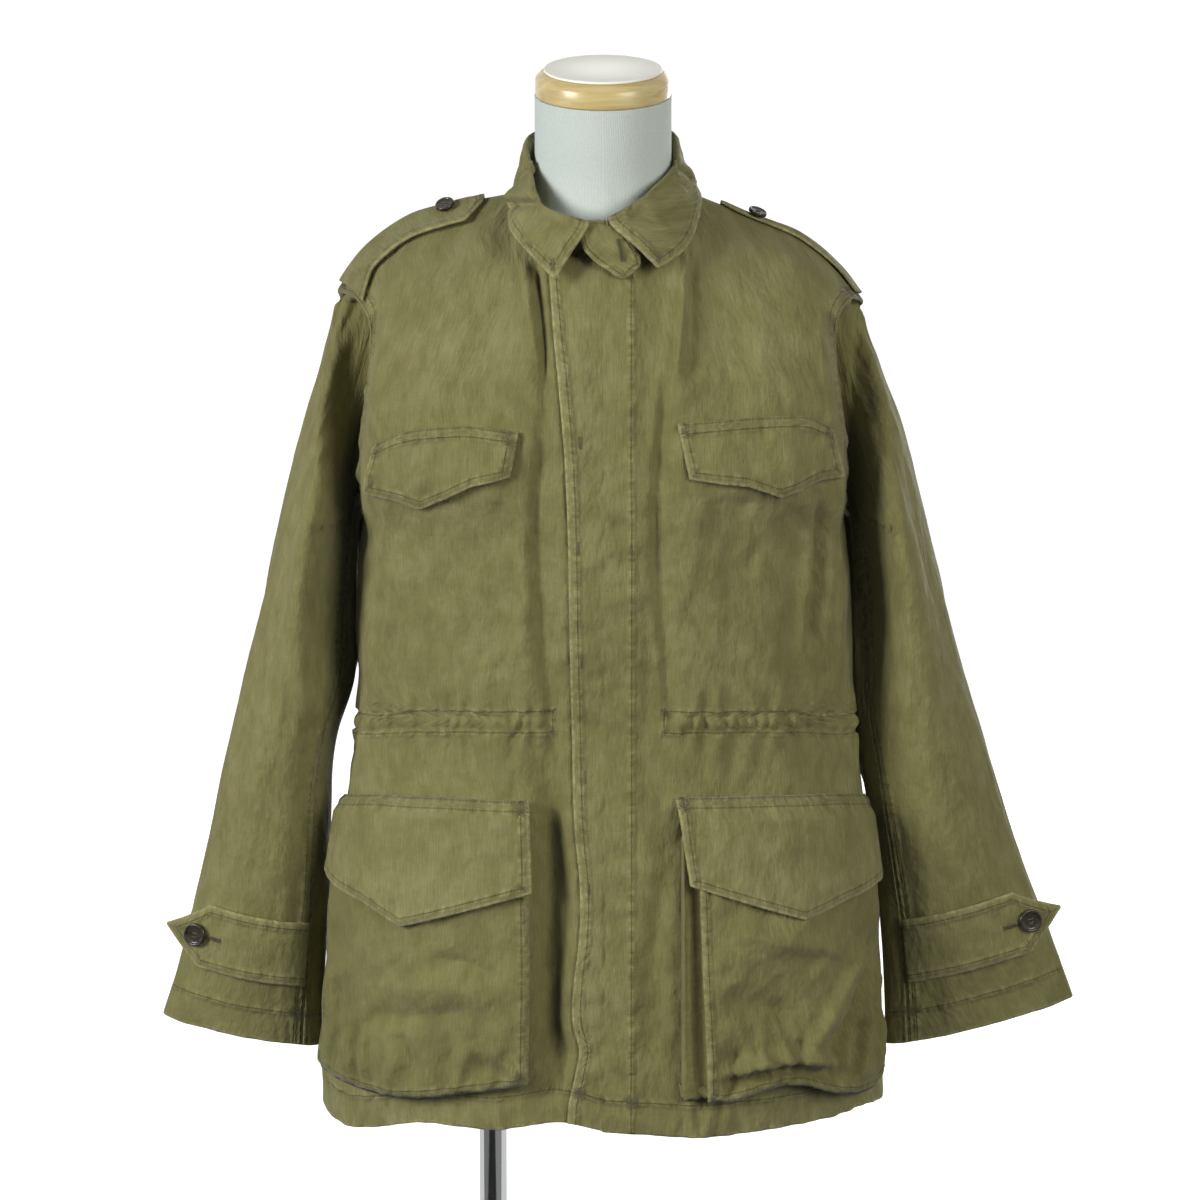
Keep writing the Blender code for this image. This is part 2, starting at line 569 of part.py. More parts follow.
def node(name, mesh, finish, smooth_angle=50.0):
    """One named object from a bmesh."""
    data = bpy.data.meshes.new(name)
    mesh.to_mesh(data)
    mesh.free()
    data.shade_smooth()
    data.set_sharp_from_angle(angle=math.radians(smooth_angle))
    data.materials.append(material(finish))
    made = bpy.data.objects.new(name, data)
    bpy.context.scene.collection.objects.link(made)
    return made


def seam_directions(faces, number, layer):
    """For each point on a panel's seams, the direction in the cloth that leads away from them."""
    inward = {}
    for face in faces:
        for edge in face.edges:
            if all(other[layer] == number for other in edge.link_faces):
                continue
            middle = (edge.verts[0].co + edge.verts[1].co) / 2
            line = (edge.verts[1].co - edge.verts[0].co).normalized()
            away = face.calc_center_median() - middle
            away = (away - line * away.dot(line)).normalized()
            for vert in edge.verts:
                inward.setdefault(vert, []).append(away)
    return {vert: sum(ways, Vector()).normalized() for vert, ways in inward.items()}


def sewn_panels(sheets):
    """Cut panels from sheets that share their seam points. The walls of two panels share their
    direction at a seam, and each stops half a seam's gap short of it."""
    shell = bmesh.new()
    layer = shell.faces.layers.int.new("panel")
    for number, (_, grids) in enumerate(sheets):
        for grid in grids:
            add_grid(shell, grid, number, layer)
    bmesh.ops.remove_doubles(shell, verts=shell.verts[:], dist=1e-5)
    shell.verts.index_update()
    shell.normal_update()
    for number, (name, _) in enumerate(sheets):
        faces = [face for face in shell.faces if face[layer] == number]
        inward = seam_directions(faces, number, layer)
        panel = bmesh.new()
        out = panel.verts.layers.float_vector.new("out")
        rank = panel.verts.layers.int.new("rank")
        copies = {}
        for face in faces:
            for vert in face.verts:
                if vert not in copies:
                    place = vert.co + inward.get(vert, Vector()) * SEAM_GAP / 2
                    copies[vert] = panel.verts.new(place)
                    copies[vert][out] = vert.normal
                    copies[vert][rank] = vert.index
            panel.faces.new([copies[vert] for vert in face.verts])
        thicken(panel, CLOTH, out, rank)
        node(name, panel, "olive cotton")
    shell.free()


def sheet_node(name, grid, thickness, facing=None, finish="olive cotton"):
    """A grid of points as a closed wall with free edges. `facing` gives the outward normals."""
    facing = normals(grid) if facing is None else facing
    mesh = bmesh.new()
    out = mesh.verts.layers.float_vector.new("out")
    verts = []
    for points, ways in zip(grid, facing):
        row = []
        for point, way in zip(points, ways):
            vert = mesh.verts.new(point)
            vert[out] = Vector(way)
            row.append(vert)
        verts.append(row)
    for low, high in zip(verts, verts[1:]):
        for j in range(len(low) - 1):
            mesh.faces.new((low[j], low[j + 1], high[j + 1], high[j]))
    thicken(mesh, thickness, out)
    return node(name, mesh, finish)


def on_panel(panel, along, height, out):
    """A point that lies `along` metres round the body from the middle line, at a height, moved out
    from the middle of the cloth."""
    grid, facing, middle_column = panel
    spots, heights = [], []
    for i, row in enumerate(grid):
        run = lengths(row)
        run -= run[middle_column]
        column = np.interp(along, run, np.arange(len(row)))
        spots.append((i, column))
        heights.append(spot(grid, i, column)[2])
    at = np.interp(height, heights, np.arange(len(grid)))
    i = int(min(at, len(grid) - 2))
    share = at - i
    column = spots[i][1] * (1 - share) + spots[i + 1][1] * share
    way = spot(facing, at, column)
    return spot(grid, at, column) + way / np.linalg.norm(way) * out


# ---- pieces that lie on the panels -------------------------------------------------------------

def pocket_stand(pocket, across, down):
    """How far the front sheet of a bellows pocket stands off, at shares of its width and height."""
    inner, middle, outer = pocket["stand"]
    stand = inner + (outer - inner) * across
    stand += (middle - (inner + outer) / 2) * math.sin(math.pi * across)
    return stand * (POCKET_MOUTH + (1 - POCKET_MOUTH) * math.sin(math.pi * min(down + 0.1, 0.6)))


def bellows_pocket(name, panel):
    """A patch pocket whose sides and bottom fold out from the front, open at its top."""
    pocket = POCKETS[name]
    lie = CLOTH / 2 + LAY_GAP + CLOTH / 2
    rows = []
    for r in range(POCKET_ROWS + 2):
        down = min(r / POCKET_ROWS, 1.0)
        bottom = r == POCKET_ROWS + 1
        height = pocket["top"] - (pocket["top"] - pocket["bottom"] - POCKET_FOLD) * down
        row = []
        for c in range(-1, POCKET_COLUMNS + 2):
            across = min(max(c / POCKET_COLUMNS, 0.0), 1.0)
            place = pocket["inner"] + pocket["width"] * across
            if bottom:
                row.append(on_panel(panel, place, pocket["bottom"], lie))
                continue
            if c in (-1, POCKET_COLUMNS + 1):
                row.append(on_panel(panel, place, height, lie))
                continue
            moved = pocket["moved"] * (POCKET_MOUTH + (1 - POCKET_MOUTH) * down)
            place += POCKET_TUCK * (1 - 2 * across) + moved * (1 - across)
            row.append(on_panel(panel, place, height, lie + pocket_stand(pocket, across, down)))
        if bottom:
            row[0], row[-1] = (on_panel(panel, pocket["inner"] - POCKET_TUCK, pocket["bottom"], lie),
                               on_panel(panel, pocket["inner"] + pocket["width"] + POCKET_TUCK,
                                        pocket["bottom"], lie))
        rows.append(row)
    return sheet_node(name, np.array(rows), CLOTH)


def flap(name, panel):
    """A pointed flap, sewn along its top edge. Over a pocket it lies on the pocket's front."""
    cut = FLAPS[name]
    pocket = POCKETS.get(cut["pocket"])
    rows = []
    for r in np.linspace(0.0, 1.0, FLAP_ROWS + 1):
        row = []
        for c in np.linspace(0.0, 1.0, FLAP_COLUMNS + 1):
            side_depth, point_depth = cut["depth"]
            depth = side_depth + (point_depth - side_depth) * (1.0 - abs(2.0 * c - 1.0))
            height = cut["top"][0] * (1 - c) + cut["top"][1] * c - depth * r
            out = LIE_ON_PANEL + FLAP_CLEAR + cut["stand_off"] * r * math.sin(math.pi * (0.2 + 0.6 * c))
            if pocket:
                down = (pocket["top"] - height) / (pocket["top"] - pocket["bottom"])
                over = (cut["top"][0] - height) / (cut["top"][0] - pocket["top"] - FLAP_OVER)
                over = min(max(over, 0.0), 1.0)
                out += (pocket_stand(pocket, c, max(down, 0)) + CLOTH + LAY_GAP) * over
            row.append(on_panel(panel, cut["inner"] + cut["width"] * c, height, out))
        rows.append(row)
    return sheet_node(name, np.array(rows), DOUBLE_CLOTH)


def strap(side):
    """A shoulder strap, pointed at its neck end and sewn in with the armhole at the other. It
    lies across the shoulder seam, its front half on the front and its back half on the back."""
    seam = {face: quarter(side, face, NECK_COLUMNS[face]) for face in FACING}
    ways = {face: outward_normals(grid, side, face) for face, grid in seam.items()}
    columns = np.arange(1, SHOULDER_COLUMNS) / SHOULDER_COLUMNS
    start, end = STRAP["share"][0], STRAP["share"][-1]
    shares = [start, *columns[(columns > start + STRAP_SPACE) & (columns < end - STRAP_SPACE)], end]
    rows, facing = [], []
    for w in STRAP_ROWS:
        face = "front" if w <= 0 else "back"
        grid = seam[face]
        top = grid.shape[0] - 1
        row, row_ways = [], []
        for share in shares:
            reach = np.interp(share, STRAP["share"], STRAP[face])
            from_tip = SHOULDER_COLUMNS * (1 - share)
            column = grid.shape[1] - 1 - from_tip
            line = np.array([spot(grid, i, column) for i in range(top, -1, -1)])
            at = top - np.interp(abs(w) * reach, lengths(line), np.arange(len(line)))
            seam_way = sum(spot(ways[f], seam[f].shape[0] - 1, seam[f].shape[1] - 1 - from_tip)
                           for f in FACING)
            way = (spot(ways[face], at, column) * abs(w)
                   + seam_way / np.linalg.norm(seam_way) * (1 - abs(w)))
            way /= np.linalg.norm(way)
            row.append(spot(grid, at, column) + way * (LIE_ON_PANEL + STRAP_CLEAR))
            row_ways.append(way)
        rows.append(row)
        facing.append(row_ways)
    grid, facing = np.array(rows), np.array(facing)
    sheet_node(f"shoulder_strap_{side}", grid, DOUBLE_CLOTH, facing)
    button(f"strap_button_{side}", grid, facing, *STRAP_BUTTON, STRAP_BUTTON_SIZE)


def cuff_tab(side):
    """A tab across the front of a cuff, sewn in at the sleeve's front seam, with a pointed end
    that stands off the sleeve and a button near it."""
    grid = sleeves[side]
    ways = sleeve_normals(grid, side)
    last = grid.shape[0] - 1
    rows, facing = [], []
    for w in np.linspace(-1.0, 1.0, TAB_ROWS + 1):
        row, row_ways = [], []
        for share in np.linspace(0.0, 1.0, TAB_COLUMNS + 1):
            turn = TAB_SEWN + (TAB_TIP - TAB_SEWN) * share
            half = TAB_HALF * min(1.0, (1.0 - share) / TAB_POINT + TAB_BLUNT)
            column = -turn * YOKE_ROWS
            line = np.array([spot(grid, i, column) for i in range(last, -1, -1)])
            rise = TAB_RISE + w * half
            at = last - np.interp(rise, lengths(line), np.arange(len(line)))
            way = spot(ways, at, column)
            way /= np.linalg.norm(way)
            flare = TAB_FLARE * max(0.0, (share - TAB_FLAT) / (1.0 - TAB_FLAT)) ** 2
            row.append(spot(grid, at, column) + way * (LIE_ON_PANEL + TAB_CLEAR + flare))
            row_ways.append(way)
        rows.append(row)
        facing.append(row_ways)
    grid, facing = np.array(rows), np.array(facing)
    sheet_node(f"cuff_tab_{side}", grid, DOUBLE_CLOTH, facing)
    button(f"cuff_button_{side}", grid, facing, *TAB_BUTTON)


def collar():
    """The collar: one wall that stands up from the neck seam, folds over at the roll line and
    falls to its outer edge."""
    places = np.linspace(0.0, 1.0, COLLAR_COLUMNS + 1)
    neck_points = np.vstack([path(rows_of(NECKLINE["front"]), np.linspace(0, 1, 40)),
                             path(rows_of(NECKLINE["back"]), np.linspace(1, 0, 40))[1:]])
    neck = by_length(neck_points, COLLAR_START + (1 - COLLAR_START) * places)
    roll = path(np.column_stack([COLLAR[f"roll_{k}"] for k in "xyz"]), places)
    edge = path(np.column_stack([COLLAR[f"edge_{k}"] for k in "xyz"]), places)
    run = np.gradient(roll, axis=0)
    run /= np.linalg.norm(run, axis=1, keepdims=True)
    out = edge - neck
    out -= run * np.sum(out * run, axis=1, keepdims=True)
    out[:, 2] = 0.0
    out /= np.linalg.norm(out, axis=1, keepdims=True)
    stand = roll - neck
    stand /= np.linalg.norm(stand, axis=1, keepdims=True)
    drop = np.array((0.0, 0.0, -ROLL_DROP))
    foot = neck + stand * COLLAR_LIFT
    inner, outer = roll - out * ROLL_HALF + drop, roll + out * ROLL_HALF + drop
    half = np.array([foot, (foot + inner) / 2, inner, roll, outer, (outer + edge) / 2, edge])
    mirrored = half[:, :-1] * (-1.0, 1.0, 1.0)
    return sheet_node("collar", np.concatenate([mirrored, half[:, ::-1]], axis=1), DOUBLE_CLOTH)


def throat_tab():
    """A tab that closes the throat. It shows between the ends of the collar, over the fly."""
    corner = {name: np.array(place) for name, place in THROAT_TAB.items()}
    grid = np.array([[(corner["top_right"] * (1 - c) + corner["top_left"] * c) * (1 - r)
                      + (corner["end_right"] * (1 - c) + corner["end_left"] * c) * r
                      for c in np.linspace(0, 1, 4)] for r in np.linspace(0, 1, 5)])
    return sheet_node("throat_tab", grid, DOUBLE_CLOTH)


def button(name, grid, facing, share, row, size=1.0):
    """A flat round button with a raised rim and a dished middle. It stands on a thread shank on
    the outer side of a strap or tab, at a share of its length and a row across it."""
    at = share * (grid.shape[1] - 1)
    place, way = Vector(spot(grid, row, at)), Vector(spot(normals(grid), row, at)).normalized()
    if way.dot(Vector(spot(facing, row, at))) < 0:
        way.negate()
    shank, foot = BUTTON_SHANK
    rim = BUTTON_RADIUS - BUTTON_RIM
    top = foot + BUTTON_HEIGHT
    profile = ((0.0, 0.0), (shank, 0.0), (shank, foot), (BUTTON_RADIUS - BUTTON_BEVEL, foot),
               (BUTTON_RADIUS, foot + BUTTON_BEVEL), (BUTTON_RADIUS - BUTTON_BEVEL / 2, top),
               (rim, top), (rim - BUTTON_BEVEL, top - BUTTON_BEVEL), (0.0, top - BUTTON_BEVEL))
    profile = [(radius * size, height) for radius, height in profile]
    made = turned(name, profile, BUTTON_SIDES, "brown horn")
    turn = Vector((0, 0, 1)).rotation_difference(way).to_matrix().to_4x4()
    made.matrix_world = Matrix.Translation(place + way * (DOUBLE_CLOTH / 2 + BUTTON_GAP)) @ turn


def turned(name, profile, segments, finish):
    """A turned piece from its outline, given as radius and height from the axis round."""
    mesh = bmesh.new()
    verts = [mesh.verts.new((radius, 0.0, height)) for radius, height in profile]
    edges = [mesh.edges.new(pair) for pair in zip(verts, verts[1:])]
    bmesh.ops.spin(mesh, geom=verts + edges, cent=(0, 0, 0), axis=(0, 0, 1),
                   angle=2 * math.pi, steps=segments, use_merge=True)
    bmesh.ops.remove_doubles(mesh, verts=mesh.verts[:], dist=1e-6)
    bmesh.ops.recalc_face_normals(mesh, faces=mesh.faces[:])
    return node(name, mesh, finish, smooth_angle=30.0)


# ---- form and stand ----------------------------------------------------------------------------

def boundary_loops(mesh):
    """The open edges of a sheet, as one list of edges for each loop."""
    left = {edge for edge in mesh.edges if len(edge.link_faces) == 1}
    loops = []
    while left:
        loop = [left.pop()]
        ends = set(loop[0].verts)
        grown = True
        while grown:
            grown = [edge for edge in left if ends & set(edge.verts)]
            for edge in grown:
                left.discard(edge)
                loop.append(edge)
                ends |= set(edge.verts)
        loops.append(loop)
    return loops


def dress_form():
    """The limbless form: the body's own surface moved in, its bottom and armholes closed with
    rounded ends, and a straight neck that leans forward."""
    mesh = bmesh.new()
    layer = mesh.faces.layers.int.new("panel")
    for side in OUTWARD:
        for face in FACING:
            neck_columns = FORM_COLUMNS * NECK_COLUMNS[face] // SHOULDER_COLUMNS
            grid = quarter(side, face, neck_columns, FORM_COLUMNS, FORM_HEIGHTS, FORM_YOKE_ROWS)
            if OUTWARD[side] * FACING[face] > 0:
                grid = grid[:, ::-1]
            add_grid(mesh, grid, 0, layer)
    bmesh.ops.remove_doubles(mesh, verts=mesh.verts[:], dist=1e-5)
    mesh.normal_update()
    seams = {side: path(rows_of(SHOULDER[side]), np.linspace(0.2, 0.85, 30), OUTWARD[side])
             for side in OUTWARD}
    moved = {}
    for vert in mesh.verts:
        off = min(np.linalg.norm(seam - np.array(vert.co), axis=1).min() for seam in seams.values())
        clear = CLOTH / 2 + FORM_REST + FORM_CLEAR * (1.0 - fade(off, FORM_REST_REACH))
        moved[vert] = vert.co - vert.normal * clear
        if vert.co.z < FORM_HEIGHTS[0] + 1e-4:
            moved[vert].z = FORM_HEIGHTS[0]
    for vert, place in moved.items():
        vert.co = place
    for loop in boundary_loops(mesh):
        heights = [vert.co.z for edge in loop for vert in edge.verts]
        reach = max(abs(vert.co.x) for edge in loop for vert in edge.verts)
        if reach < 2 * NECK_RADIUS:
            close_neck(mesh, loop)
        else:
            filled = bmesh.ops.edgeloop_fill(mesh, edges=loop)["faces"]
            bmesh.ops.recalc_face_normals(mesh, faces=mesh.faces[:])
            end = FORM_END if max(heights) < UNDERARM / 2 else ARM_END
            bmesh.ops.inset_individual(mesh, faces=filled, thickness=FORM_INSET, depth=end,
                                       use_even_offset=True)
    bmesh.ops.recalc_face_normals(mesh, faces=mesh.faces[:])
    return node("form_body", mesh, "knit cover")


def close_neck(mesh, loop):
    """Carry the form's open neck edge up to its flat top, through rings square to its axis."""
    up = Vector((0.0, -math.sin(NECK_TILT), math.cos(NECK_TILT)))
    ahead = Vector((0.0, math.cos(NECK_TILT), math.sin(NECK_TILT)))
    for below in NECK_RINGS:
        grown = bmesh.ops.extrude_edge_only(mesh, edges=loop)["geom"]
        loop = [item for item in grown if isinstance(item, bmesh.types.BMEdge)]
        centre = NECK_TOP - up * below
        for vert in {vert for edge in loop for vert in edge.verts}:
            angle = math.atan2(vert.co.y - centre.y, vert.co.x)
            vert.co = (centre + Vector((1, 0, 0)) * NECK_RADIUS * math.cos(angle)
                       + ahead * NECK_RADIUS * math.sin(angle))
    bmesh.ops.edgeloop_fill(mesh, edges=loop)


def stand():
    """The form's neck cap with its disc, and its flange, pole and base."""
    tilt = Matrix.Translation(NECK_TOP) @ Matrix.Rotation(NECK_TILT, 4, "X")
    cap = turned("neck_cap", ((0, 0), (CAP_RADIUS, 0), (CAP_RADIUS, CAP_HEIGHT - CAP_CHAMFER),
                              (CAP_RADIUS - CAP_CHAMFER, CAP_HEIGHT), (0, CAP_HEIGHT)),
                 40, "turned wood")
    cap.matrix_world = tilt @ Matrix.Translation((0, 0, TOUCH_GAP))
    disc = turned("neck_cap_disc", ((0, 0), (DISC_RADIUS, 0), (DISC_RADIUS, DISC_HEIGHT),
                                    (0, DISC_HEIGHT)), 40, "cream disc")
    disc.matrix_world = tilt @ Matrix.Translation((0, 0, 2 * TOUCH_GAP + CAP_HEIGHT))
    flange_top = FORM_HEIGHTS[0] - FORM_END - TOUCH_GAP
    flange_foot = flange_top - FLANGE_HEIGHT
    flange = turned("pole_flange", ((0, 0), (FLANGE_RADIUS * 0.45, 0),
                                    (FLANGE_RADIUS, FLANGE_HEIGHT * 0.6),
                                    (FLANGE_RADIUS, FLANGE_HEIGHT), (0, FLANGE_HEIGHT)),
                    24, "chrome")
    flange.location = (POLE_X, 0, flange_foot)
    pole_foot = BASE_HEIGHT + TOUCH_GAP
    pole = turned("pole", ((0, 0), (POLE_RADIUS, 0), (POLE_RADIUS, flange_foot - TOUCH_GAP - pole_foot),
                           (0, flange_foot - TOUCH_GAP - pole_foot)), 20, "chrome")
    pole.location = (POLE_X, 0, pole_foot)
    turned("base_plate", ((0, 0), (BASE_RADIUS, 0), (BASE_RADIUS, BASE_HEIGHT - BASE_CHAMFER),
                          (BASE_RADIUS - BASE_CHAMFER, BASE_HEIGHT), (0, BASE_HEIGHT)),
           64, "black base")


# ---- building ----------------------------------------------------------------------------------

for leftover in list(bpy.data.objects):
    bpy.data.objects.remove(leftover)

# Quarters of the body with their folds, joined into the fronts and the back.
NECK_COLUMNS = {"front": NECK_COLUMNS_FRONT, "back": NECK_COLUMNS_BACK}
folded = {(side, face): shape_quarter(quarter(side, face, NECK_COLUMNS[face]), side, face)
          for side in OUTWARD for face in FACING}
fronts = {
    "right": past_middle(folded[("right", "front")], folded[("left", "front")], "right", "front",
                         lambda height: UNDERLAP, 0.0),
    "left": past_middle(folded[("left", "front")], folded[("right", "front")], "left", "front",
                        lambda height: smooth(FLY["height"], FLY["overlap"], height), FLY_RAISE),
}
back = np.concatenate([folded[("right", "back")][:, ::-1], folded[("left", "back")][:, 1:]], axis=1)
sleeves = {side: sleeve_grid(side) for side in OUTWARD}

# The sheets in the order of their columns that makes their faces look outwards.
sheets = [("front_right", [fronts["right"][:, ::-1]]),
          ("front_left", [fronts["left"]]),
          ("back", [back[:, ::-1]])]
under_start, under_end = FRONT_SEAM, 2 * YOKE_ROWS - BACK_SEAM
for side, grid in sleeves.items():
    parts = {"under": [grid[:, under_start:under_end + 1]],
             "upper": [grid[:, :under_start + 1], grid[:, under_end:]]}
    for part, pieces in parts.items():
        pieces = [piece[:, ::-1] if side == "right" else piece for piece in pieces]
        sheets.append((f"sleeve_{part}_{side}", pieces))
sewn_panels(sheets)

# Fronts as panels that other pieces are laid on: grid, normals and the middle line's column.
laid_on = {side: (grid, outward_normals(grid, side, "front"), 2) for side, grid in fronts.items()}
for name, cut in FLAPS.items():
    flap(name, laid_on[cut["side"]])
for name, pocket in POCKETS.items():
    bellows_pocket(name, laid_on[pocket["side"]])
for side in OUTWARD:
    strap(side)
    cuff_tab(side)
collar()
throat_tab()
dress_form()
stand()
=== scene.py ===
"""Looks of a field jacket in washed olive cotton, on a limbless dress form with a pole and a base.

Metres, +Z up, the jacket's front faces -Y. "right" and "left" are the wearer's own, so the right
side lies at -X. Each piece of cloth is a grid of points on the surface that the piece was cut for.
"""
import math

import bmesh
import bpy
import numpy as np
from mathutils import Matrix, Vector


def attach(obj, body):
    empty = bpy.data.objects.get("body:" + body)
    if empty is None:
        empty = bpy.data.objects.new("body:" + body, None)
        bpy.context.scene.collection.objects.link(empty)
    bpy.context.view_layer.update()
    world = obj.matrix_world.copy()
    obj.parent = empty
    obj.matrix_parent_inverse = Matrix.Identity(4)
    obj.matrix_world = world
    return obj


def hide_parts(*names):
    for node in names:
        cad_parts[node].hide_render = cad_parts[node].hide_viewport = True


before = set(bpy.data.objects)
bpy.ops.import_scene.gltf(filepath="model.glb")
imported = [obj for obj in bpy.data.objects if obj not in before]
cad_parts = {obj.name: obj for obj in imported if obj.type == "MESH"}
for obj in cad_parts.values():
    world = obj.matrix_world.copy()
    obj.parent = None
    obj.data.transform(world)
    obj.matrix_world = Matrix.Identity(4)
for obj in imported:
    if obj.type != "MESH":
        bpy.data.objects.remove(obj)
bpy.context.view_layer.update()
scene = bpy.context.scene

# ==== camera, floor and studio light ============================================================
# A long lens, a little above the jacket's middle, over a pale floor. Two large soft lights stand
# in front of the jacket, a weaker one behind it, and a tiny spot shines on the cap from above.
# Boards on the floor, which only show in reflections, give the chrome its stripes.
TARGET = Vector((-0.0026, 0.0, 0.728))
DISTANCE, ELEVATION = 4.0, math.radians(8.0)
VIEW_WIDTH = 1.032          # of the view in the jacket's middle plane
SENSOR = 36.0
WHITE = (1.0, 1.0, 1.0)
REFLECTED_ONLY = ("camera", "diffuse", "shadow")    # kinds of rays that miss such a board
SKY_FROM_BELOW, SKY_FROM_ABOVE = 0.02, 0.12         # light of the sky

lens = bpy.data.cameras.new("camera")
lens.sensor_width = SENSOR
lens.lens = SENSOR * DISTANCE / VIEW_WIDTH
camera = bpy.data.objects.new("camera", lens)
away = Vector((0.0, -math.cos(ELEVATION), math.sin(ELEVATION)))
camera.location = TARGET + away * DISTANCE
camera.rotation_mode = "QUATERNION"
camera.rotation_quaternion = (-away).to_track_quat("-Z", "Y")
scene.collection.objects.link(camera)
scene.camera = camera
scene.view_settings.view_transform = "Standard"


def plain_material(name, colour, roughness, metallic=0.0):
    """A material and its shader, to be given a pattern or left plain."""
    made = bpy.data.materials.new(name)
    made.use_nodes = True
    shader = made.node_tree.nodes["Principled BSDF"]
    shader.inputs["Base Color"].default_value = (*colour, 1.0)
    shader.inputs["Roughness"].default_value = roughness
    shader.inputs["Metallic"].default_value = metallic
    return made, shader


def studio_part(name, mesh, colour, glow, missed_by):
    """A part of the studio that shines by itself. The kinds of rays that it is missed by don't see
    it, so that it stays pale without lighting the jacket."""
    data = bpy.data.meshes.new(name)
    mesh.to_mesh(data)
    mesh.free()
    made, shader = plain_material(name, colour, 0.9)
    shader.inputs["Emission Color"].default_value = (*WHITE, 1.0)
    shader.inputs["Emission Strength"].default_value = glow
    data.materials.append(made)
    part = bpy.data.objects.new(name, data)
    scene.collection.objects.link(part)
    for rays in missed_by:
        setattr(part, f"visible_{rays}", False)
    if missed_by == REFLECTED_ONLY:
        shader.inputs["Specular IOR Level"].default_value = 0.0


def area_light(name, place, size, power, colour=WHITE, aim=TARGET, spread=180.0):
    """A square soft light, which looks at the jacket's middle unless told otherwise."""
    data = bpy.data.lights.new(name, "AREA")
    data.size, data.energy, data.color, data.spread = size, power, colour, math.radians(spread)
    lamp = bpy.data.objects.new(name, data)
    lamp.location = place
    lamp.rotation_mode = "QUATERNION"
    lamp.rotation_quaternion = (Vector(aim) - Vector(place)).to_track_quat("-Z", "Y")
    scene.collection.objects.link(lamp)


mesh = bmesh.new()
bmesh.ops.create_uvsphere(mesh, u_segments=48, v_segments=24, radius=30.0)
bmesh.ops.reverse_faces(mesh, faces=mesh.faces[:])
studio_part("white_room", mesh, WHITE, 1.02, ("diffuse", "shadow"))
for name, size, place, grey, glow, missed_by in (
        ("floor", (60.0, 60.0), (0.0, 0.0, 0.0), 0.40, 0.90, ("diffuse",)),
        ("pale_board", (9.0, 9.0), (0.0, 0.0, 0.002), 0.0, 0.62, REFLECTED_ONLY),
        ("dark_board", (0.86, 1.5), (-0.19, -1.12, 0.006), 0.0, 0.016, REFLECTED_ONLY),
        ("grey_board_left", (1.2, 1.5), (0.80, -0.95, 0.004), 0.0, 0.21, REFLECTED_ONLY),
        ("grey_board_right", (1.0, 1.75), (-1.10, -0.975, 0.004), 0.0, 0.155, REFLECTED_ONLY)):
    mesh = bmesh.new()
    bmesh.ops.create_grid(mesh, x_segments=1, y_segments=1, size=0.5)
    bmesh.ops.scale(mesh, vec=(*size, 1.0), verts=mesh.verts)
    bmesh.ops.translate(mesh, vec=place, verts=mesh.verts)
    studio_part(name, mesh, (grey, grey, grey), glow, missed_by)
area_light("key", (-3.05, -2.15, 1.65), 1.4, 140.0)
area_light("fill", (2.2, -2.75, 1.75), 1.6, 76.0, (1.0, 0.985, 0.93))
area_light("back_light", (1.1, 3.1, 1.2), 2.0, 70.0)
area_light("top_spot", (0.0, -0.12, 2.1), 0.05, 0.004, aim=(0.0, -0.03, 1.19), spread=6.0)
world = bpy.data.worlds.new("studio")
world.use_nodes = True
tree = world.node_tree
tree.nodes["Background"].inputs["Color"].default_value = (0.98, 0.99, 1.0, 1.0)
where_from = tree.nodes.new("ShaderNodeTexCoord")
parts = tree.nodes.new("ShaderNodeSeparateXYZ")
from_above = tree.nodes.new("ShaderNodeMapRange")
for label, value in (("From Min", -0.35), ("From Max", 0.75),
                     ("To Min", SKY_FROM_BELOW), ("To Max", SKY_FROM_ABOVE)):
    from_above.inputs[label].default_value = value
tree.links.new(where_from.outputs["Generated"], parts.inputs[0])
tree.links.new(parts.outputs["Z"], from_above.inputs["Value"])
tree.links.new(from_above.outputs[0], tree.nodes["Background"].inputs["Strength"])
scene.world = world


# ==== fronts and back ===========================================================================
# The body of the jacket, one layer of washed olive cotton twill: two fronts, which close with a
# hidden fly, and a back. They are sewn along the sides and shoulders, and a cord in a casing, which
# is stitched on along both its edges, draws them in at the waist.
CLOTH = 0.0016              # wall of a panel
DOUBLE_CLOTH = 0.0020       # wall of a flap, strap, tab or collar, which are sewn double
LAY_GAP = 0.0007            # between a panel and what lies on it
LIE_ON_PANEL = CLOTH / 2 + LAY_GAP + DOUBLE_CLOTH / 2
HEM, UNDERARM = 0.296, 0.800
CASING, CASING_WIDTH = 0.632, 0.018
CASING_LINE = {"front": ((0.000, 0.130, 0.180, 0.242, 0.300),
                         (0.6425, 0.6395, 0.6365, 0.627, 0.622)),
               "back": ((0.0, 0.3), (0.625, 0.625))}
CASING_START = {"right": 0.043, "left": 0.0515}   # end of the casing beside the fly
SQUARENESS = 2.3            # exponent of the body's rounded section, 2 being an ellipse
NECK_SHARE = {"front": 1 / 2, "back": 1 / 3}      # of a quarter's top edge, the rest being shoulder
NECK_FADE = {"front": 2.0, "back": 3.0}
HEM_REACH = 0.060
HEM_STITCH = 0.027          # above the bottom edge
SEAM_FLAT = 0.020           # width beside a side seam over which folds die away
FLY_RAISE, FLY_INNER, FLY_SLOPE, FLY_FLAT, FLY_TOP_DROP = 0.0027, 0.024, 0.014, 0.011, 0.033
FLY_STITCH = 0.0074         # from the fly's edge to its row of stitching
UNDERLAP = 0.016
LAY_START, LAY_END, LAY_STEP = -0.052, 0.300, 0.002     # places round a front for what lies on it
TURN_IN, TURN_IN_TOP, TURN_IN_FOOT = 0.024, 0.955, 0.850    # fold where a front meets its armhole
OUTWARD = {"right": -1.0, "left": 1.0}
FACING = {"front": -1.0, "back": 1.0}


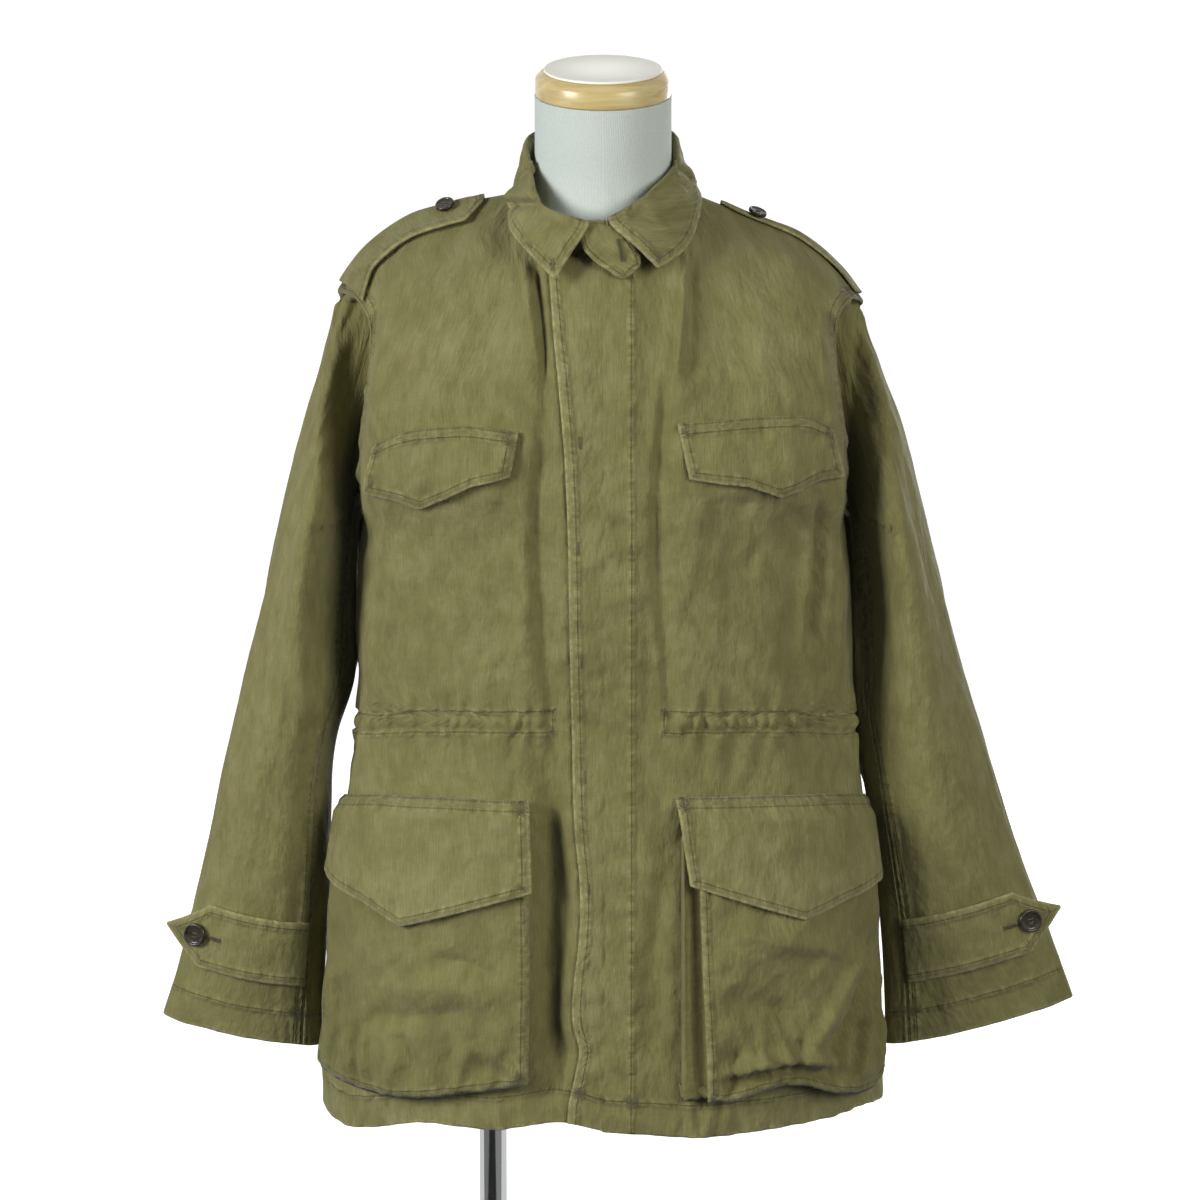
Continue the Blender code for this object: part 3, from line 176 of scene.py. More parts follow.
def table(names, rows):
    """A table with named columns, as one array for each column."""
    return dict(zip(names.split(), np.array(rows, dtype=float).T))


BODY = table("height right left front back", (
    (0.296, 0.2425, 0.2435, 0.140, 0.142), (0.360, 0.2400, 0.2405, 0.139, 0.140),
    (0.460, 0.2315, 0.2345, 0.136, 0.135), (0.560, 0.2200, 0.2240, 0.130, 0.127),
    (0.632, 0.2075, 0.2150, 0.122, 0.116), (0.700, 0.2120, 0.2135, 0.127, 0.121),
    (0.760, 0.2095, 0.2105, 0.130, 0.125), (0.800, 0.2050, 0.2050, 0.131, 0.127)))
HEM_LINE = {
    "right": table("along rise", ((0.000, 0.000), (0.032, 0.007), (0.090, 0.000), (0.160, 0.000),
                                  (0.215, -0.011), (0.236, -0.013), (0.262, -0.008),
                                  (0.290, 0.000), (0.330, 0.000))),
    "left": table("along rise", ((0.000, -0.001), (0.032, -0.003), (0.070, -0.006),
                                 (0.115, -0.006), (0.170, -0.003), (0.200, 0.000),
                                 (0.236, 0.005), (0.270, 0.003), (0.330, 0.000))),
}
FLY = table("height overlap", (
    (0.296, 0.031), (0.311, 0.030), (0.344, 0.0235), (0.368, 0.0205), (0.385, 0.025),
    (0.424, 0.0245), (0.451, 0.0210), (0.504, 0.0195), (0.548, 0.0235), (0.640, 0.0262),
    (0.720, 0.028), (0.820, 0.030), (0.920, 0.037), (1.020, 0.050)))
MIDDLE = {
    "front": table("x y z", ((0, -0.131, 0.800), (0, -0.129, 0.860), (0, -0.123, 0.920),
                             (0, -0.108, 0.980), (0, -0.083, 1.032))),
    "back": table("x y z", ((0, 0.127, 0.800), (0, 0.132, 0.870), (0, 0.133, 0.940),
                            (0, 0.121, 1.010), (0, 0.098, 1.060), (0, 0.071, 1.091))),
}
NECKLINE = {
    "front": table("x y z", ((0, -0.083, 1.032), (0.032, -0.074, 1.036), (0.060, -0.044, 1.053),
                             (0.074, 0.000, 1.077))),
    "back": table("x y z", ((0, 0.071, 1.091), (0.035, 0.063, 1.091), (0.062, 0.036, 1.087),
                            (0.074, 0.000, 1.077))),
}
SHOULDER = {
    "right": table("x y z", ((0.074, 0.000, 1.077), (0.124, 0.003, 1.067), (0.168, 0.005, 1.053),
                             (0.203, 0.006, 1.026), (0.225, 0.004, 0.996))),
    "left": table("x y z", ((0.074, 0.000, 1.077), (0.124, 0.003, 1.057), (0.168, 0.005, 1.039),
                            (0.201, 0.006, 1.012), (0.221, 0.004, 0.986))),
}
ARMHOLE = {
    "front": table("x y z", ((0.205, 0.000, 0.800), (0.205, -0.040, 0.810), (0.205, -0.070, 0.840),
                             (0.203, -0.084, 0.885), (0.197, -0.082, 0.930),
                             (0.1965, -0.066, 0.974), (0.208, -0.037, 0.990))),
    "back": table("x y z", ((0.205, 0.000, 0.800), (0.205, 0.038, 0.810), (0.206, 0.068, 0.838),
                            (0.205, 0.084, 0.880), (0.203, 0.083, 0.925),
                            (0.205, 0.068, 0.961), (0.213, 0.040, 0.986))),
}


def smooth(knots, values, at):
    """Values at the places `at` on a smooth curve through the given ones."""
    slopes = np.gradient(values, knots)
    at = np.clip(at, knots[0], knots[-1])
    i = np.clip(np.searchsorted(knots, at) - 1, 0, len(knots) - 2)
    span = knots[i + 1] - knots[i]
    t = (at - knots[i]) / span
    start = (2 * t ** 3 - 3 * t ** 2 + 1) * values[i] + (t ** 3 - 2 * t ** 2 + t) * span * slopes[i]
    end = (3 * t ** 2 - 2 * t ** 3) * values[i + 1] + (t ** 3 - t ** 2) * span * slopes[i + 1]
    return start + end


def lengths(points):
    """Length along rows of points, from each one's first."""
    steps = np.linalg.norm(np.diff(points, axis=-2), axis=-1)
    return np.concatenate([np.zeros_like(steps[..., :1]), np.cumsum(steps, axis=-1)], axis=-1)


def by_length(points, places):
    """Points at the given shares of the length of a row of points."""
    run = lengths(points)
    return np.column_stack([np.interp(np.asarray(places) * run[-1], run, points[:, k])
                            for k in range(3)])


def path(points, places, sign=1.0):
    """Points at the given shares of the length of a smooth curve, x being turned to one side."""
    points = np.asarray(points, dtype=float) * (sign, 1.0, 1.0)
    knots = lengths(points)
    fine = np.linspace(0.0, knots[-1], 600)
    return by_length(np.column_stack([smooth(knots, points[:, k], fine) for k in range(3)]), places)


def rows_of(columns):
    """The points of a table with columns x, y and z."""
    return np.column_stack([columns["x"], columns["y"], columns["z"]])


def unit(ways):
    """Directions of length 1."""
    return ways / np.linalg.norm(ways, axis=-1, keepdims=True)


def normals(grid):
    """Unit normals of a grid of points."""
    return unit(np.cross(np.gradient(grid, axis=1), np.gradient(grid, axis=0)))


def fade(distance, reach):
    """1 at no distance, falling smoothly to 0 at `reach`."""
    t = np.clip(1.0 - np.abs(distance) / reach, 0.0, 1.0)
    return t * t * (3.0 - 2.0 * t)


def ripple(seed, a, b):
    """Smooth random waves from about -1 to 1 over a plane, one wave to a unit or so."""
    angle = np.random.default_rng(seed).uniform(0, 2 * math.pi, (64, 64))
    i, j = np.floor(a).astype(int), np.floor(b).astype(int)
    s, t = a - i, b - j
    total = 0.0
    for di in (0, 1):
        for dj in (0, 1):
            turn = angle[(i + di) % 64, (j + dj) % 64]
            share = fade(s - di, 1.0) * fade(t - dj, 1.0)
            total = total + share * (np.cos(turn) * (s - di) + np.sin(turn) * (t - dj))
    return total * 1.6


def crease(a, b, points, width, rise, lean=0.0, ends=0.25):
    """Height of one soft crease along a line of points on the cloth. With `lean` one of its sides
    is steeper. It dies away over a share of its length at both ends."""
    points = np.array(points, dtype=float)
    steps = np.hypot(*np.diff(points, axis=0).T)
    total, run, best = steps.sum(), 0.0, None
    for (a0, b0), (a1, b1), step in zip(points, points[1:], steps):
        t = np.clip(((a - a0) * (a1 - a0) + (b - b0) * (b1 - b0)) / step ** 2, 0.0, 1.0)
        off = np.hypot(a - a0 - t * (a1 - a0), b - b0 - t * (b1 - b0))
        side = np.sign((a - a0) * (b1 - b0) - (b - b0) * (a1 - a0))
        share = (run + t * step) / total
        if best is None:
            best = [off, side, share]
        else:
            nearer = off < best[0]
            best = [np.where(nearer, new, old) for new, old in zip((off, side, share), best)]
        run += step
    off, side, share = best
    reach = np.minimum(share, 1.0 - share)
    return rise * np.exp(-(off / (width * (1.0 + lean * side))) ** 2) * (1.0 - fade(reach, ends))


def stitch_field(*fields):
    """One signed distance from several lines of stitching, nought on each of them."""
    nearest = np.min([np.abs(field) for field in fields], axis=0)
    sign = np.prod([np.where(field < 0, -1.0, 1.0) for field in fields], axis=0)
    return sign * nearest


def ring(side, face, height, places):
    """Points of a quarter of the body at one height, middle line to side seam."""
    turn = np.linspace(0.0, math.pi / 2, 400)
    half = smooth(BODY["height"], BODY[side], height)
    depth = smooth(BODY["height"], BODY[face], height)
    x = OUTWARD[side] * half * np.sin(turn) ** (2 / SQUARENESS)
    y = FACING[face] * depth * np.clip(np.cos(turn), 0.0, 1.0) ** (2 / SQUARENESS)
    return by_length(np.column_stack([x, y, np.full_like(x, height)]), places)


def armhole(side, face, places):
    """Points of the armhole's front or back half, underarm to shoulder tip."""
    tip = rows_of(SHOULDER[side])[-1]
    return path(np.vstack([rows_of(ARMHOLE[face]), tip]), places, OUTWARD[side])


def sunk(height):
    """How far back the seam lies in the fold where a front turns in at its armhole."""
    above, below = (height - TURN_IN_TOP) / 0.030, (TURN_IN_FOOT - height) / 0.070
    return TURN_IN * fade(np.clip(above, 0, 1), 1.0) * fade(np.clip(below, 0, 1), 1.0)


def quarter(side, face, u, heights, v):
    """Grid of a quarter of the body: rings up to the underarm, then a patch between the underarm
    ring, the middle line, the armhole and the top edge."""
    rings = np.array([ring(side, face, height, u) for height in heights])
    neck = NECK_SHARE[face]
    top = np.where(u[:, None] <= neck,
                   path(rows_of(NECKLINE[face]), np.minimum(u / neck, 1), OUTWARD[side]),
                   path(rows_of(SHOULDER[side]), np.maximum(u - neck, 0) / (1 - neck),
                        OUTWARD[side]))
    bottom = rings[-1]
    middle = path(rows_of(MIDDLE[face]), v, OUTWARD[side])
    outer = armhole(side, face, v)
    u, v = u[None, :, None], v[:, None, None]
    corners = ((1 - u) * (1 - v) * bottom[0] + u * (1 - v) * bottom[-1]
               + (1 - u) * v * top[0] + u * v * top[-1])
    yoke = ((1 - v) * bottom[None] + v * top[None]
            + (1 - u) * middle[:, None] + u * outer[:, None] - corners)
    yoke -= (top - (top[0] + (top[-1] - top[0]) * u[0])) * (v - v ** NECK_FADE[face])
    grid = np.vstack([rings, yoke[1:]])
    near = fade(grid[:, :, 2] - UNDERARM, 0.07) * (1.0 - u[0, :, 0] ** 12)
    for _ in range(60):
        grid[1:-1] += 0.25 * (grid[:-2] + grid[2:] - 2 * grid[1:-1]) * near[1:-1, :, None]
    return grid


ROWS = np.unique(np.concatenate([np.linspace(HEM, UNDERARM, 169), CASING + CASING_WIDTH / 2
                                 * np.array((-1.12, -1.0, -0.88, 0.88, 1.0, 1.12))]))
YOKE = {"front": np.linspace(0, 1, 83), "back": np.linspace(0, 1, 95)}
COLUMNS = {"front": np.linspace(0, 1, 151), "back": np.linspace(0, 1, 79)}

# The largest folds, ridges up and troughs down, as straight runs: the place round the body from the
# middle line, the height, and the same at the other end.
FOLDS = {
    ("right", "front"): ((0.072, 1.020, 0.056, 0.905, 0.012, 0.0060),
                         (0.050, 0.985, 0.044, 0.890, 0.010, -0.0045),
                         (0.062, 0.900, 0.060, 0.690, 0.022, -0.0045),
                         (0.044, 0.640, 0.042, 0.300, 0.020, -0.0045),
                         (0.150, 1.000, 0.185, 0.930, 0.018, 0.0030)),
    ("left", "front"): ((0.078, 1.035, 0.064, 0.925, 0.014, 0.0055),
                        (0.050, 0.890, 0.046, 0.740, 0.018, -0.0040),
                        (0.174, 0.850, 0.168, 0.670, 0.026, -0.0060),
                        (0.214, 0.860, 0.220, 0.640, 0.014, 0.0070)),
    ("right", "back"): ((0.170, 0.960, 0.150, 0.760, 0.020, 0.0045),
                        (0.060, 0.780, 0.075, 0.670, 0.022, -0.0035)),
    ("left", "back"): ((0.165, 0.950, 0.155, 0.740, 0.022, 0.0045),
                       (0.085, 0.790, 0.065, 0.665, 0.020, -0.0035)),
}
# Smaller creases: the line, width, rise and lean of each.
CREASES = {
    ("right", "front"): (
        (((0.0888, 1.0310), (0.0765, 1.0133), (0.0666, 0.9884), (0.0576, 0.9577), (0.0513, 0.9325)),
         0.0055, 0.0034, 0.5),
        (((0.0698, 1.0300), (0.0605, 1.0059), (0.0542, 0.9852), (0.0478, 0.9574), (0.0450, 0.9180)),
         0.0060, -0.0062, 0.3),
        (((0.050, 0.925), (0.0526, 0.856), (0.0568, 0.813), (0.0558, 0.762), (0.0521, 0.712),
          (0.0461, 0.669), (0.0443, 0.610)), 0.0085, -0.0056, 0.3),
        (((0.0443, 0.650), (0.0430, 0.610), (0.0420, 0.535), (0.0410, 0.450), (0.0400, 0.366),
          (0.0410, 0.290)), 0.0170, -0.0080, 0.2),
        (((0.0700, 0.800), (0.0640, 0.750), (0.0680, 0.700), (0.0600, 0.660)), 0.0070, 0.0022, 0.3),
        (((0.0950, 0.760), (0.0860, 0.730), (0.0700, 0.715)), 0.0060, -0.0014, 0.0),
        (((0.1150, 0.700), (0.0900, 0.685), (0.0720, 0.690)), 0.0070, -0.0014, 0.2),
        (((0.064, 0.760), (0.078, 0.690), (0.082, 0.655)), 0.008, 0.0018, 0.0),
        (((0.192, 0.930), (0.196, 0.800), (0.192, 0.680)), 0.006, 0.0016, 0.2),
        (((0.120, 0.800), (0.136, 0.730), (0.128, 0.660)), 0.014, -0.0012, 0.0),
        (((0.150, 0.820), (0.176, 0.760), (0.190, 0.690)), 0.012, 0.0014, 0.0),
        (((0.090, 1.010), (0.100, 0.950), (0.100, 0.900)), 0.014, -0.0014, 0.0),
        (((0.045, 0.600), (0.044, 0.520), (0.050, 0.440), (0.046, 0.350)), 0.008, -0.0022, 0.0),
        (((0.085, 0.625), (0.080, 0.600), (0.082, 0.575)), 0.006, 0.0012, 0.0),
        (((0.030, 0.520), (0.036, 0.470), (0.034, 0.400)), 0.008, 0.0014, 0.0)),
    ("left", "front"): (
        (((0.0882, 1.0407), (0.0744, 1.0090), (0.0660, 0.9721), (0.0575, 0.9155)),
         0.0050, 0.0040, -0.5),
        (((0.0960, 1.0400), (0.0850, 1.0090), (0.0760, 0.9721), (0.0680, 0.9155)),
         0.0080, -0.0040, 0.0),
        (((0.0550, 0.960), (0.0491, 0.900), (0.0434, 0.855), (0.0427, 0.813), (0.0456, 0.763),
          (0.0513, 0.712), (0.0547, 0.661), (0.0700, 0.620)), 0.0070, -0.0040, -0.3),
        (((0.1000, 0.900), (0.0900, 0.860), (0.0760, 0.800), (0.0700, 0.740)), 0.0120, 0.0016, 0.2),
        (((0.1400, 0.800), (0.1250, 0.770), (0.1060, 0.765)), 0.0070, -0.0014, 0.0),
        (((0.060, 0.905), (0.066, 0.850), (0.064, 0.790)), 0.009, 0.0014, 0.0),
        (((0.050, 0.760), (0.058, 0.700), (0.070, 0.650)), 0.011, 0.0014, 0.0),
        (((0.178, 0.850), (0.184, 0.780), (0.176, 0.700), (0.182, 0.650)), 0.0060, 0.0034, 0.0),
        (((0.206, 0.830), (0.204, 0.760), (0.200, 0.690)), 0.006, 0.0030, 0.0),
        (((0.192, 0.840), (0.194, 0.770), (0.188, 0.700)), 0.005, -0.0032, 0.0),
        (((0.120, 0.860), (0.105, 0.790), (0.118, 0.720)), 0.018, -0.0014, 0.0),
        (((0.046, 0.590), (0.052, 0.520), (0.044, 0.450), (0.050, 0.350)), 0.009, -0.0020, 0.0),
        (((0.034, 0.560), (0.038, 0.500), (0.032, 0.430)), 0.007, 0.0012, 0.0)),
    ("right", "back"): (
        (((0.120, 0.900), (0.110, 0.800), (0.120, 0.700)), 0.016, -0.0018, 0.0),
        (((0.020, 0.980), (0.030, 0.880), (0.020, 0.760)), 0.018, 0.0014, 0.0),
        (((0.190, 0.860), (0.200, 0.780), (0.196, 0.690)), 0.009, 0.0020, 0.0),
        (((0.060, 0.600), (0.070, 0.500), (0.060, 0.380)), 0.016, -0.0020, 0.0),
        (((0.160, 0.600), (0.150, 0.480), (0.165, 0.350)), 0.018, 0.0022, 0.0)),
    ("left", "back"): (
        (((0.110, 0.910), (0.120, 0.810), (0.105, 0.700)), 0.016, -0.0018, 0.0),
        (((0.030, 0.740), (0.040, 0.700), (0.036, 0.655)), 0.012, 0.0014, 0.0),
        (((0.200, 0.850), (0.190, 0.770), (0.196, 0.690)), 0.010, 0.0020, 0.0),
        (((0.090, 0.600), (0.080, 0.500), (0.095, 0.360)), 0.016, -0.0020, 0.0),
        (((0.190, 0.590), (0.200, 0.470), (0.185, 0.350)), 0.016, 0.0020, 0.0)),
}
# Where flaps and pockets lie: the panel stays flat under them, but for a narrow edge.
COVER_EDGE = 0.012
COVERED = {
    "right": ((0.075, 0.209, 0.820, 0.884), (0.0635, 0.270, 0.340, 0.576)),
    "left": ((0.064, 0.202, 0.825, 0.890), (0.062, 0.266, 0.340, 0.576)),
}
GATHERS = {"front": 17, "back": 16}
GATHER_SEEDS = {("right", "front"): 3, ("left", "front"): 4,
                ("right", "back"): 5, ("left", "back"): 6}


def casing_off(face, along, height):
    """Height above the middle of the casing."""
    return height - np.interp(along, *CASING_LINE[face])


def gathers(side, face, along, height, width):
    """Pleats that the casing's cord draws in: short and close in the casing, longer and softer
    above and below it."""
    rng = np.random.default_rng(GATHER_SEEDS[(side, face)])
    start = CASING_START[side] + 0.004 if face == "front" else 0.0
    count = GATHERS[face]
    spots = start + (width - start) * (np.arange(count) + rng.uniform(0.15, 0.85, count)) / count
    off = casing_off(face, along, height)
    from_line = np.abs(off) - CASING_WIDTH / 2
    above = off > 0
    total = np.zeros_like(along)
    for place in spots:
        wide, rise = rng.uniform(0.0034, 0.0070), rng.uniform(0.0018, 0.0056)
        up, down = rng.uniform(0.018, 0.075), rng.uniform(0.016, 0.070)
        lean_up, lean_down = rng.uniform(-0.20, 0.20, 2)
        centre = place + np.where(above, lean_up, -lean_down) * np.maximum(from_line, 0)
        wider = wide * (1.0 + np.maximum(from_line, 0) / 0.035)
        reach = np.where(above, up, down)
        total += (rise * np.exp(-((along - centre) / wider) ** 2)
                  * np.where(from_line > 0, fade(from_line, reach), 0.0))
    inside = np.zeros_like(along)
    count = int(count * 1.5)
    spots = start + (width - start) * (np.arange(count) + rng.uniform(0.1, 0.9, count)) / count
    for place in spots:
        wide, rise = rng.uniform(0.0022, 0.0040), rng.uniform(0.0020, 0.0062)
        lean = rng.uniform(-0.4, 0.4)
        inside += rise * np.exp(-((along - place - lean * off) / wide) ** 2)
    inside *= fade(off, CASING_WIDTH / 2 + 0.001) ** 0.6
    return total + inside


def shaped(side, face):
    """A quarter with its folds, the same without the small creases for what lies on it, and the
    place round the body of each point."""
    grid = quarter(side, face, COLUMNS[face], ROWS, YOKE[face])
    along, height = lengths(grid), grid[:, :, 2].copy()
    from_seam = along[:, -1:] - along
    near_seam = 1.0 - fade(from_seam, SEAM_FLAT)
    if face == "front":
        line = HEM_LINE[side]
        grid[:, :, 2] += (smooth(line["along"], line["rise"], along) * near_seam
                          * fade(height - HEM, HEM_REACH))
    casing = 0.0012 * fade(casing_off(face, along, height), CASING_WIDTH / 2 + 0.001) ** 0.7
    if face == "front":
        casing = casing * (along > CASING_START[side])
    hem = 0.0030 * np.sin(2 * math.pi * along / 0.214) * fade(height - HEM, 0.160)
    below_top = np.linalg.norm(grid - grid[-1:], axis=2)
    folds = np.zeros_like(along)
    for a0, h0, a1, h1, width, rise in FOLDS[(side, face)]:
        run = math.hypot(a1 - a0, h1 - h0)
        t = ((along - a0) * (a1 - a0) + (height - h0) * (h1 - h0)) / run ** 2
        off = ((along - a0) * (h1 - h0) - (height - h0) * (a1 - a0)) / run
        folds += rise * np.exp(-(off / width) ** 2) * fade(t - 0.5, 0.75)
    folds *= 1.0 - fade(below_top, 0.036)
    if face == "front":
        from_fly = np.maximum(along - smooth(FLY["height"], FLY["overlap"], height) - FLY_RAISE, 0)
        clear = 1.0 - fade(from_fly, FLY_FLAT)
    else:
        clear = np.ones_like(along)
    lie = (casing + hem + folds * clear) * near_seam
    offset = 0.0 if side == "right" else 7.3
    waves = (0.0034 * ripple(11, along * 13 + 3 * height + offset, height * 5.5)
             + 0.0016 * ripple(12, along * 28 - 4 * height + offset, height * 13)
             + 0.0006 * ripple(13, along * 66 + offset, height * 44)
             - 0.0022 * np.abs(ripple(14, along * 20 + 9 * height + offset,
                                      height * 15 - 5 * along))
             - 0.0011 * np.abs(ripple(15, along * 42 - 12 * height + offset,
                                      height * 34 + 8 * along)))
    small = 1.5 * sum(crease(along, height, *row) for row in CREASES[(side, face)])
    small = (small + waves) * clear * (1.0 - fade(below_top, 0.030))
    if face == "front":
        for a0, a1, h0, h1 in COVERED[side]:
            inside = 1.0
            for into in (along - a0, a1 - along, height - h0, h1 - height):
                inside = inside * (1.0 - fade(np.clip(into, 0, 1), COVER_EDGE)) * (into > 0)
            small = small * (1.0 - inside)
    small += gathers(side, face, along, height, along[len(ROWS) // 2, -1] - 0.004)
    rng = np.random.default_rng(GATHER_SEEDS[(side, face)] + 80)
    for place in np.linspace(0.020, 0.255, 15) + rng.uniform(-0.007, 0.007, 15):
        tall, lean = rng.uniform(0.02, 0.09), rng.uniform(-0.5, 0.5)
        wide, rise = rng.uniform(0.0035, 0.0080), rng.uniform(0.0010, 0.0036)
        small += (rise * fade(height - HEM, tall) * clear
                  * np.exp(-((along - place - lean * (height - HEM)) / wide) ** 2))
    if face == "front":
        small += (1.0 - clear) * (0.0017 * ripple(16, along * 22 + offset, height * 62)
                                  - 0.0013 * np.abs(ripple(17, along * 16, height * 40 + offset)))
    small *= near_seam
    ways = normals(grid) * OUTWARD[side] * -FACING[face]
    back = np.zeros_like(grid)
    if face == "front":
        back[:, :, 1] = (sunk(grid[:, -1:, 2]) * (height[:, -1:] > UNDERARM + 0.002)
                         * fade(from_seam, 0.017))
    return (grid + ways * (lie + small)[:, :, None] + back,
            grid + ways * lie[:, :, None] + back, along)


def feed(tree, node, inputs):
    """Give a shader node its inputs, as values or as links from other nodes."""
    for key, value in inputs.items():
        if isinstance(value, bpy.types.NodeSocket):
            tree.links.new(value, node.inputs[key])
        else:
            node.inputs[key].default_value = value


def put(tree, kind, inputs=None, **settings):
    """A new shader node with its settings and inputs."""
    node = tree.nodes.new(kind)
    for key, value in settings.items():
        setattr(node, key, value)
    feed(tree, node, inputs or {})
    return node


TWILL_SLANT = math.radians(27.0)
STITCH_LENGTH = 0.0029


def cotton(name, colour, light=1.0, seed=0.0):
    """Washed cotton twill: upright slubs and a fine diagonal in the weave, cloudy fading, edges
    worn pale, and rows of stitching that pull the cloth into small puckers. Along the stitching
    the puckers' ridges carry painted light, and their hollows and the stitching's groove painted
    shade; `light` gives the whole piece painted light or painted shade. It reads the cloth's own
    UV map, in metres, and how far each point is from an edge and from the stitching."""
    made, shader = plain_material(name, colour, 0.86)
    tree = made.node_tree

    def math_of(operation, first, second=0.0):
        return put(tree, "ShaderNodeMath", {0: first, 1: second}, operation=operation).outputs[0]

    def times(first, second):
        return math_of("MULTIPLY", first, second)

    def plus(first, second):
        return math_of("ADD", first, second)

    def spread(value, low, high, to_low, to_high):
        return put(tree, "ShaderNodeMapRange", {"Value": value, "From Min": low, "From Max": high,
                                                "To Min": to_low, "To Max": to_high},
                   interpolation_type="SMOOTHSTEP").outputs[0]

    uv = put(tree, "ShaderNodeUVMap", uv_map="cloth").outputs[0]

    def noise(stretch, scale, detail=2.0, rough=0.5):
        place = put(tree, "ShaderNodeMapping", {"Vector": uv, "Location": (seed, seed * 0.7, 0.0),
                                                "Scale": (*stretch, 1.0)}).outputs[0]
        return put(tree, "ShaderNodeTexNoise", {"Vector": place, "Scale": scale, "Detail": detail,
                                                "Roughness": rough},
                   noise_dimensions="2D").outputs[0]

    edge, stitch, run = (put(tree, "ShaderNodeAttribute", attribute_name=label).outputs["Fac"]
                         for label in ("edge", "stitch", "run"))
    off = math_of("ABSOLUTE", stitch)

    # How pale the cloth is in each place, 1 being its own colour. It takes in painted light and
    #     # painted shade at the stitching and over the whole piece.
    clouds = spread(noise((1.0, 0.6), 9.0, 4.0, 0.6), 0.3, 0.7, 0.90, 1.10)
    patches = spread(noise((1.0, 0.6), 60.0, 4.0, 0.65), 0.3, 0.7, 0.90, 1.10)
    slubs = spread(noise((1.0, 0.05), 1100.0, 2.0), 0.3, 0.7, 0.91, 1.09)
    crossing = spread(noise((0.06, 1.0), 900.0, 1.0), 0.3, 0.7, 0.98, 1.02)
    pale = times(times(clouds, patches), times(slubs, crossing))
    along_run = put(tree, "ShaderNodeCombineXYZ", {"X": run, "Y": times(off, 0.25)}).outputs[0]
    pucker = put(tree, "ShaderNodeTexNoise", {"Vector": along_run, "Scale": 150.0, "Detail": 1.5},
                 noise_dimensions="2D").outputs[0]
    worn = times(spread(edge, 0.0004, 0.0036, 1.0, 0.0),
                 spread(noise((1.0, 1.0), 190.0, 3.0), 0.35, 0.65, 0.25, 1.0))
    pale = times(pale, plus(times(worn, 0.66), 1.0))
    near = spread(off, 0.0006, 0.0050, 1.0, 0.0)
    # Painted light and painted shade: the puckers' ridges along the stitching are made paler and
    # their hollows darker.
    painted_pucker_light_and_shade = times(near, spread(pucker, 0.35, 0.65, -0.17, 0.22))
    pale = times(pale, plus(painted_pucker_light_and_shade, 1.0))
    groove = spread(off, 0.0002, 0.0009, 1.0, 0.0)
    dash = math_of("MODULO", plus(run, 10.0), STITCH_LENGTH)
    thread = spread(dash, 0.0019, 0.0021, 1.0, 0.0)
    # Painted shade: the colour is darkened in the stitching's groove, less where a stitch of thread
    # lies over it.
    shade = times(groove, math_of("SUBTRACT", 0.50, times(thread, 0.26)))
    pale = times(pale, math_of("SUBTRACT", 1.0, shade))
    # Painted light or painted shade for the whole piece: `light` makes paler and darker copies of
    # the one cotton.
    pale = times(pale, light)
    fresh = put(tree, "ShaderNodeMix", {
        "Factor": spread(pale, 0.85, 1.3, 0.0, 1.0),
        "A": (colour[0], colour[1], colour[2] * 0.90, 1.0),
        "B": (colour[0] * 1.02, colour[1] * 1.03, colour[2] * 1.20, 1.0)}, data_type="RGBA")
    base = put(tree, "ShaderNodeVectorMath", {0: fresh.outputs["Result"], "Scale": pale},
               operation="SCALE")

    # The surface's height in metres: weave, crumples and the cloth drawn in by its stitching.
    slanted = put(tree, "ShaderNodeMapping", {"Vector": uv, "Rotation": (0.0, 0.0, TWILL_SLANT)})
    twill = put(tree, "ShaderNodeTexWave", {
        "Vector": slanted.outputs[0], "Scale": 190.0, "Distortion": 1.2, "Detail": 1.0,
        "Detail Scale": 2.0}, wave_type="BANDS").outputs["Fac"]
    weave = plus(times(twill, 0.00007), times(noise((1.0, 0.06), 700.0), 0.00013))
    crumple = plus(times(noise((1.0, 0.7), 110.0, 4.0, 0.6), 0.0020),
                   times(noise((1.0, 0.6), 34.0, 3.0, 0.6), 0.0042))
    pull = times(groove, -0.0006)
    rope = times(times(near, pucker), 0.0026)
    height = plus(plus(weave, crumple), plus(pull, rope))
    bump = put(tree, "ShaderNodeBump", {"Height": height, "Strength": 0.9, "Distance": 1.0})
    feed(tree, shader, {"Base Color": base.outputs[0],
                        "Roughness": spread(noise((1.0, 1.0), 60.0), 0.3, 0.7, 0.80, 0.94),
                        "Sheen Weight": 0.12, "Sheen Roughness": 0.5,
                        "Specular IOR Level": 0.25, "Normal": bump.outputs[0]})
    return made


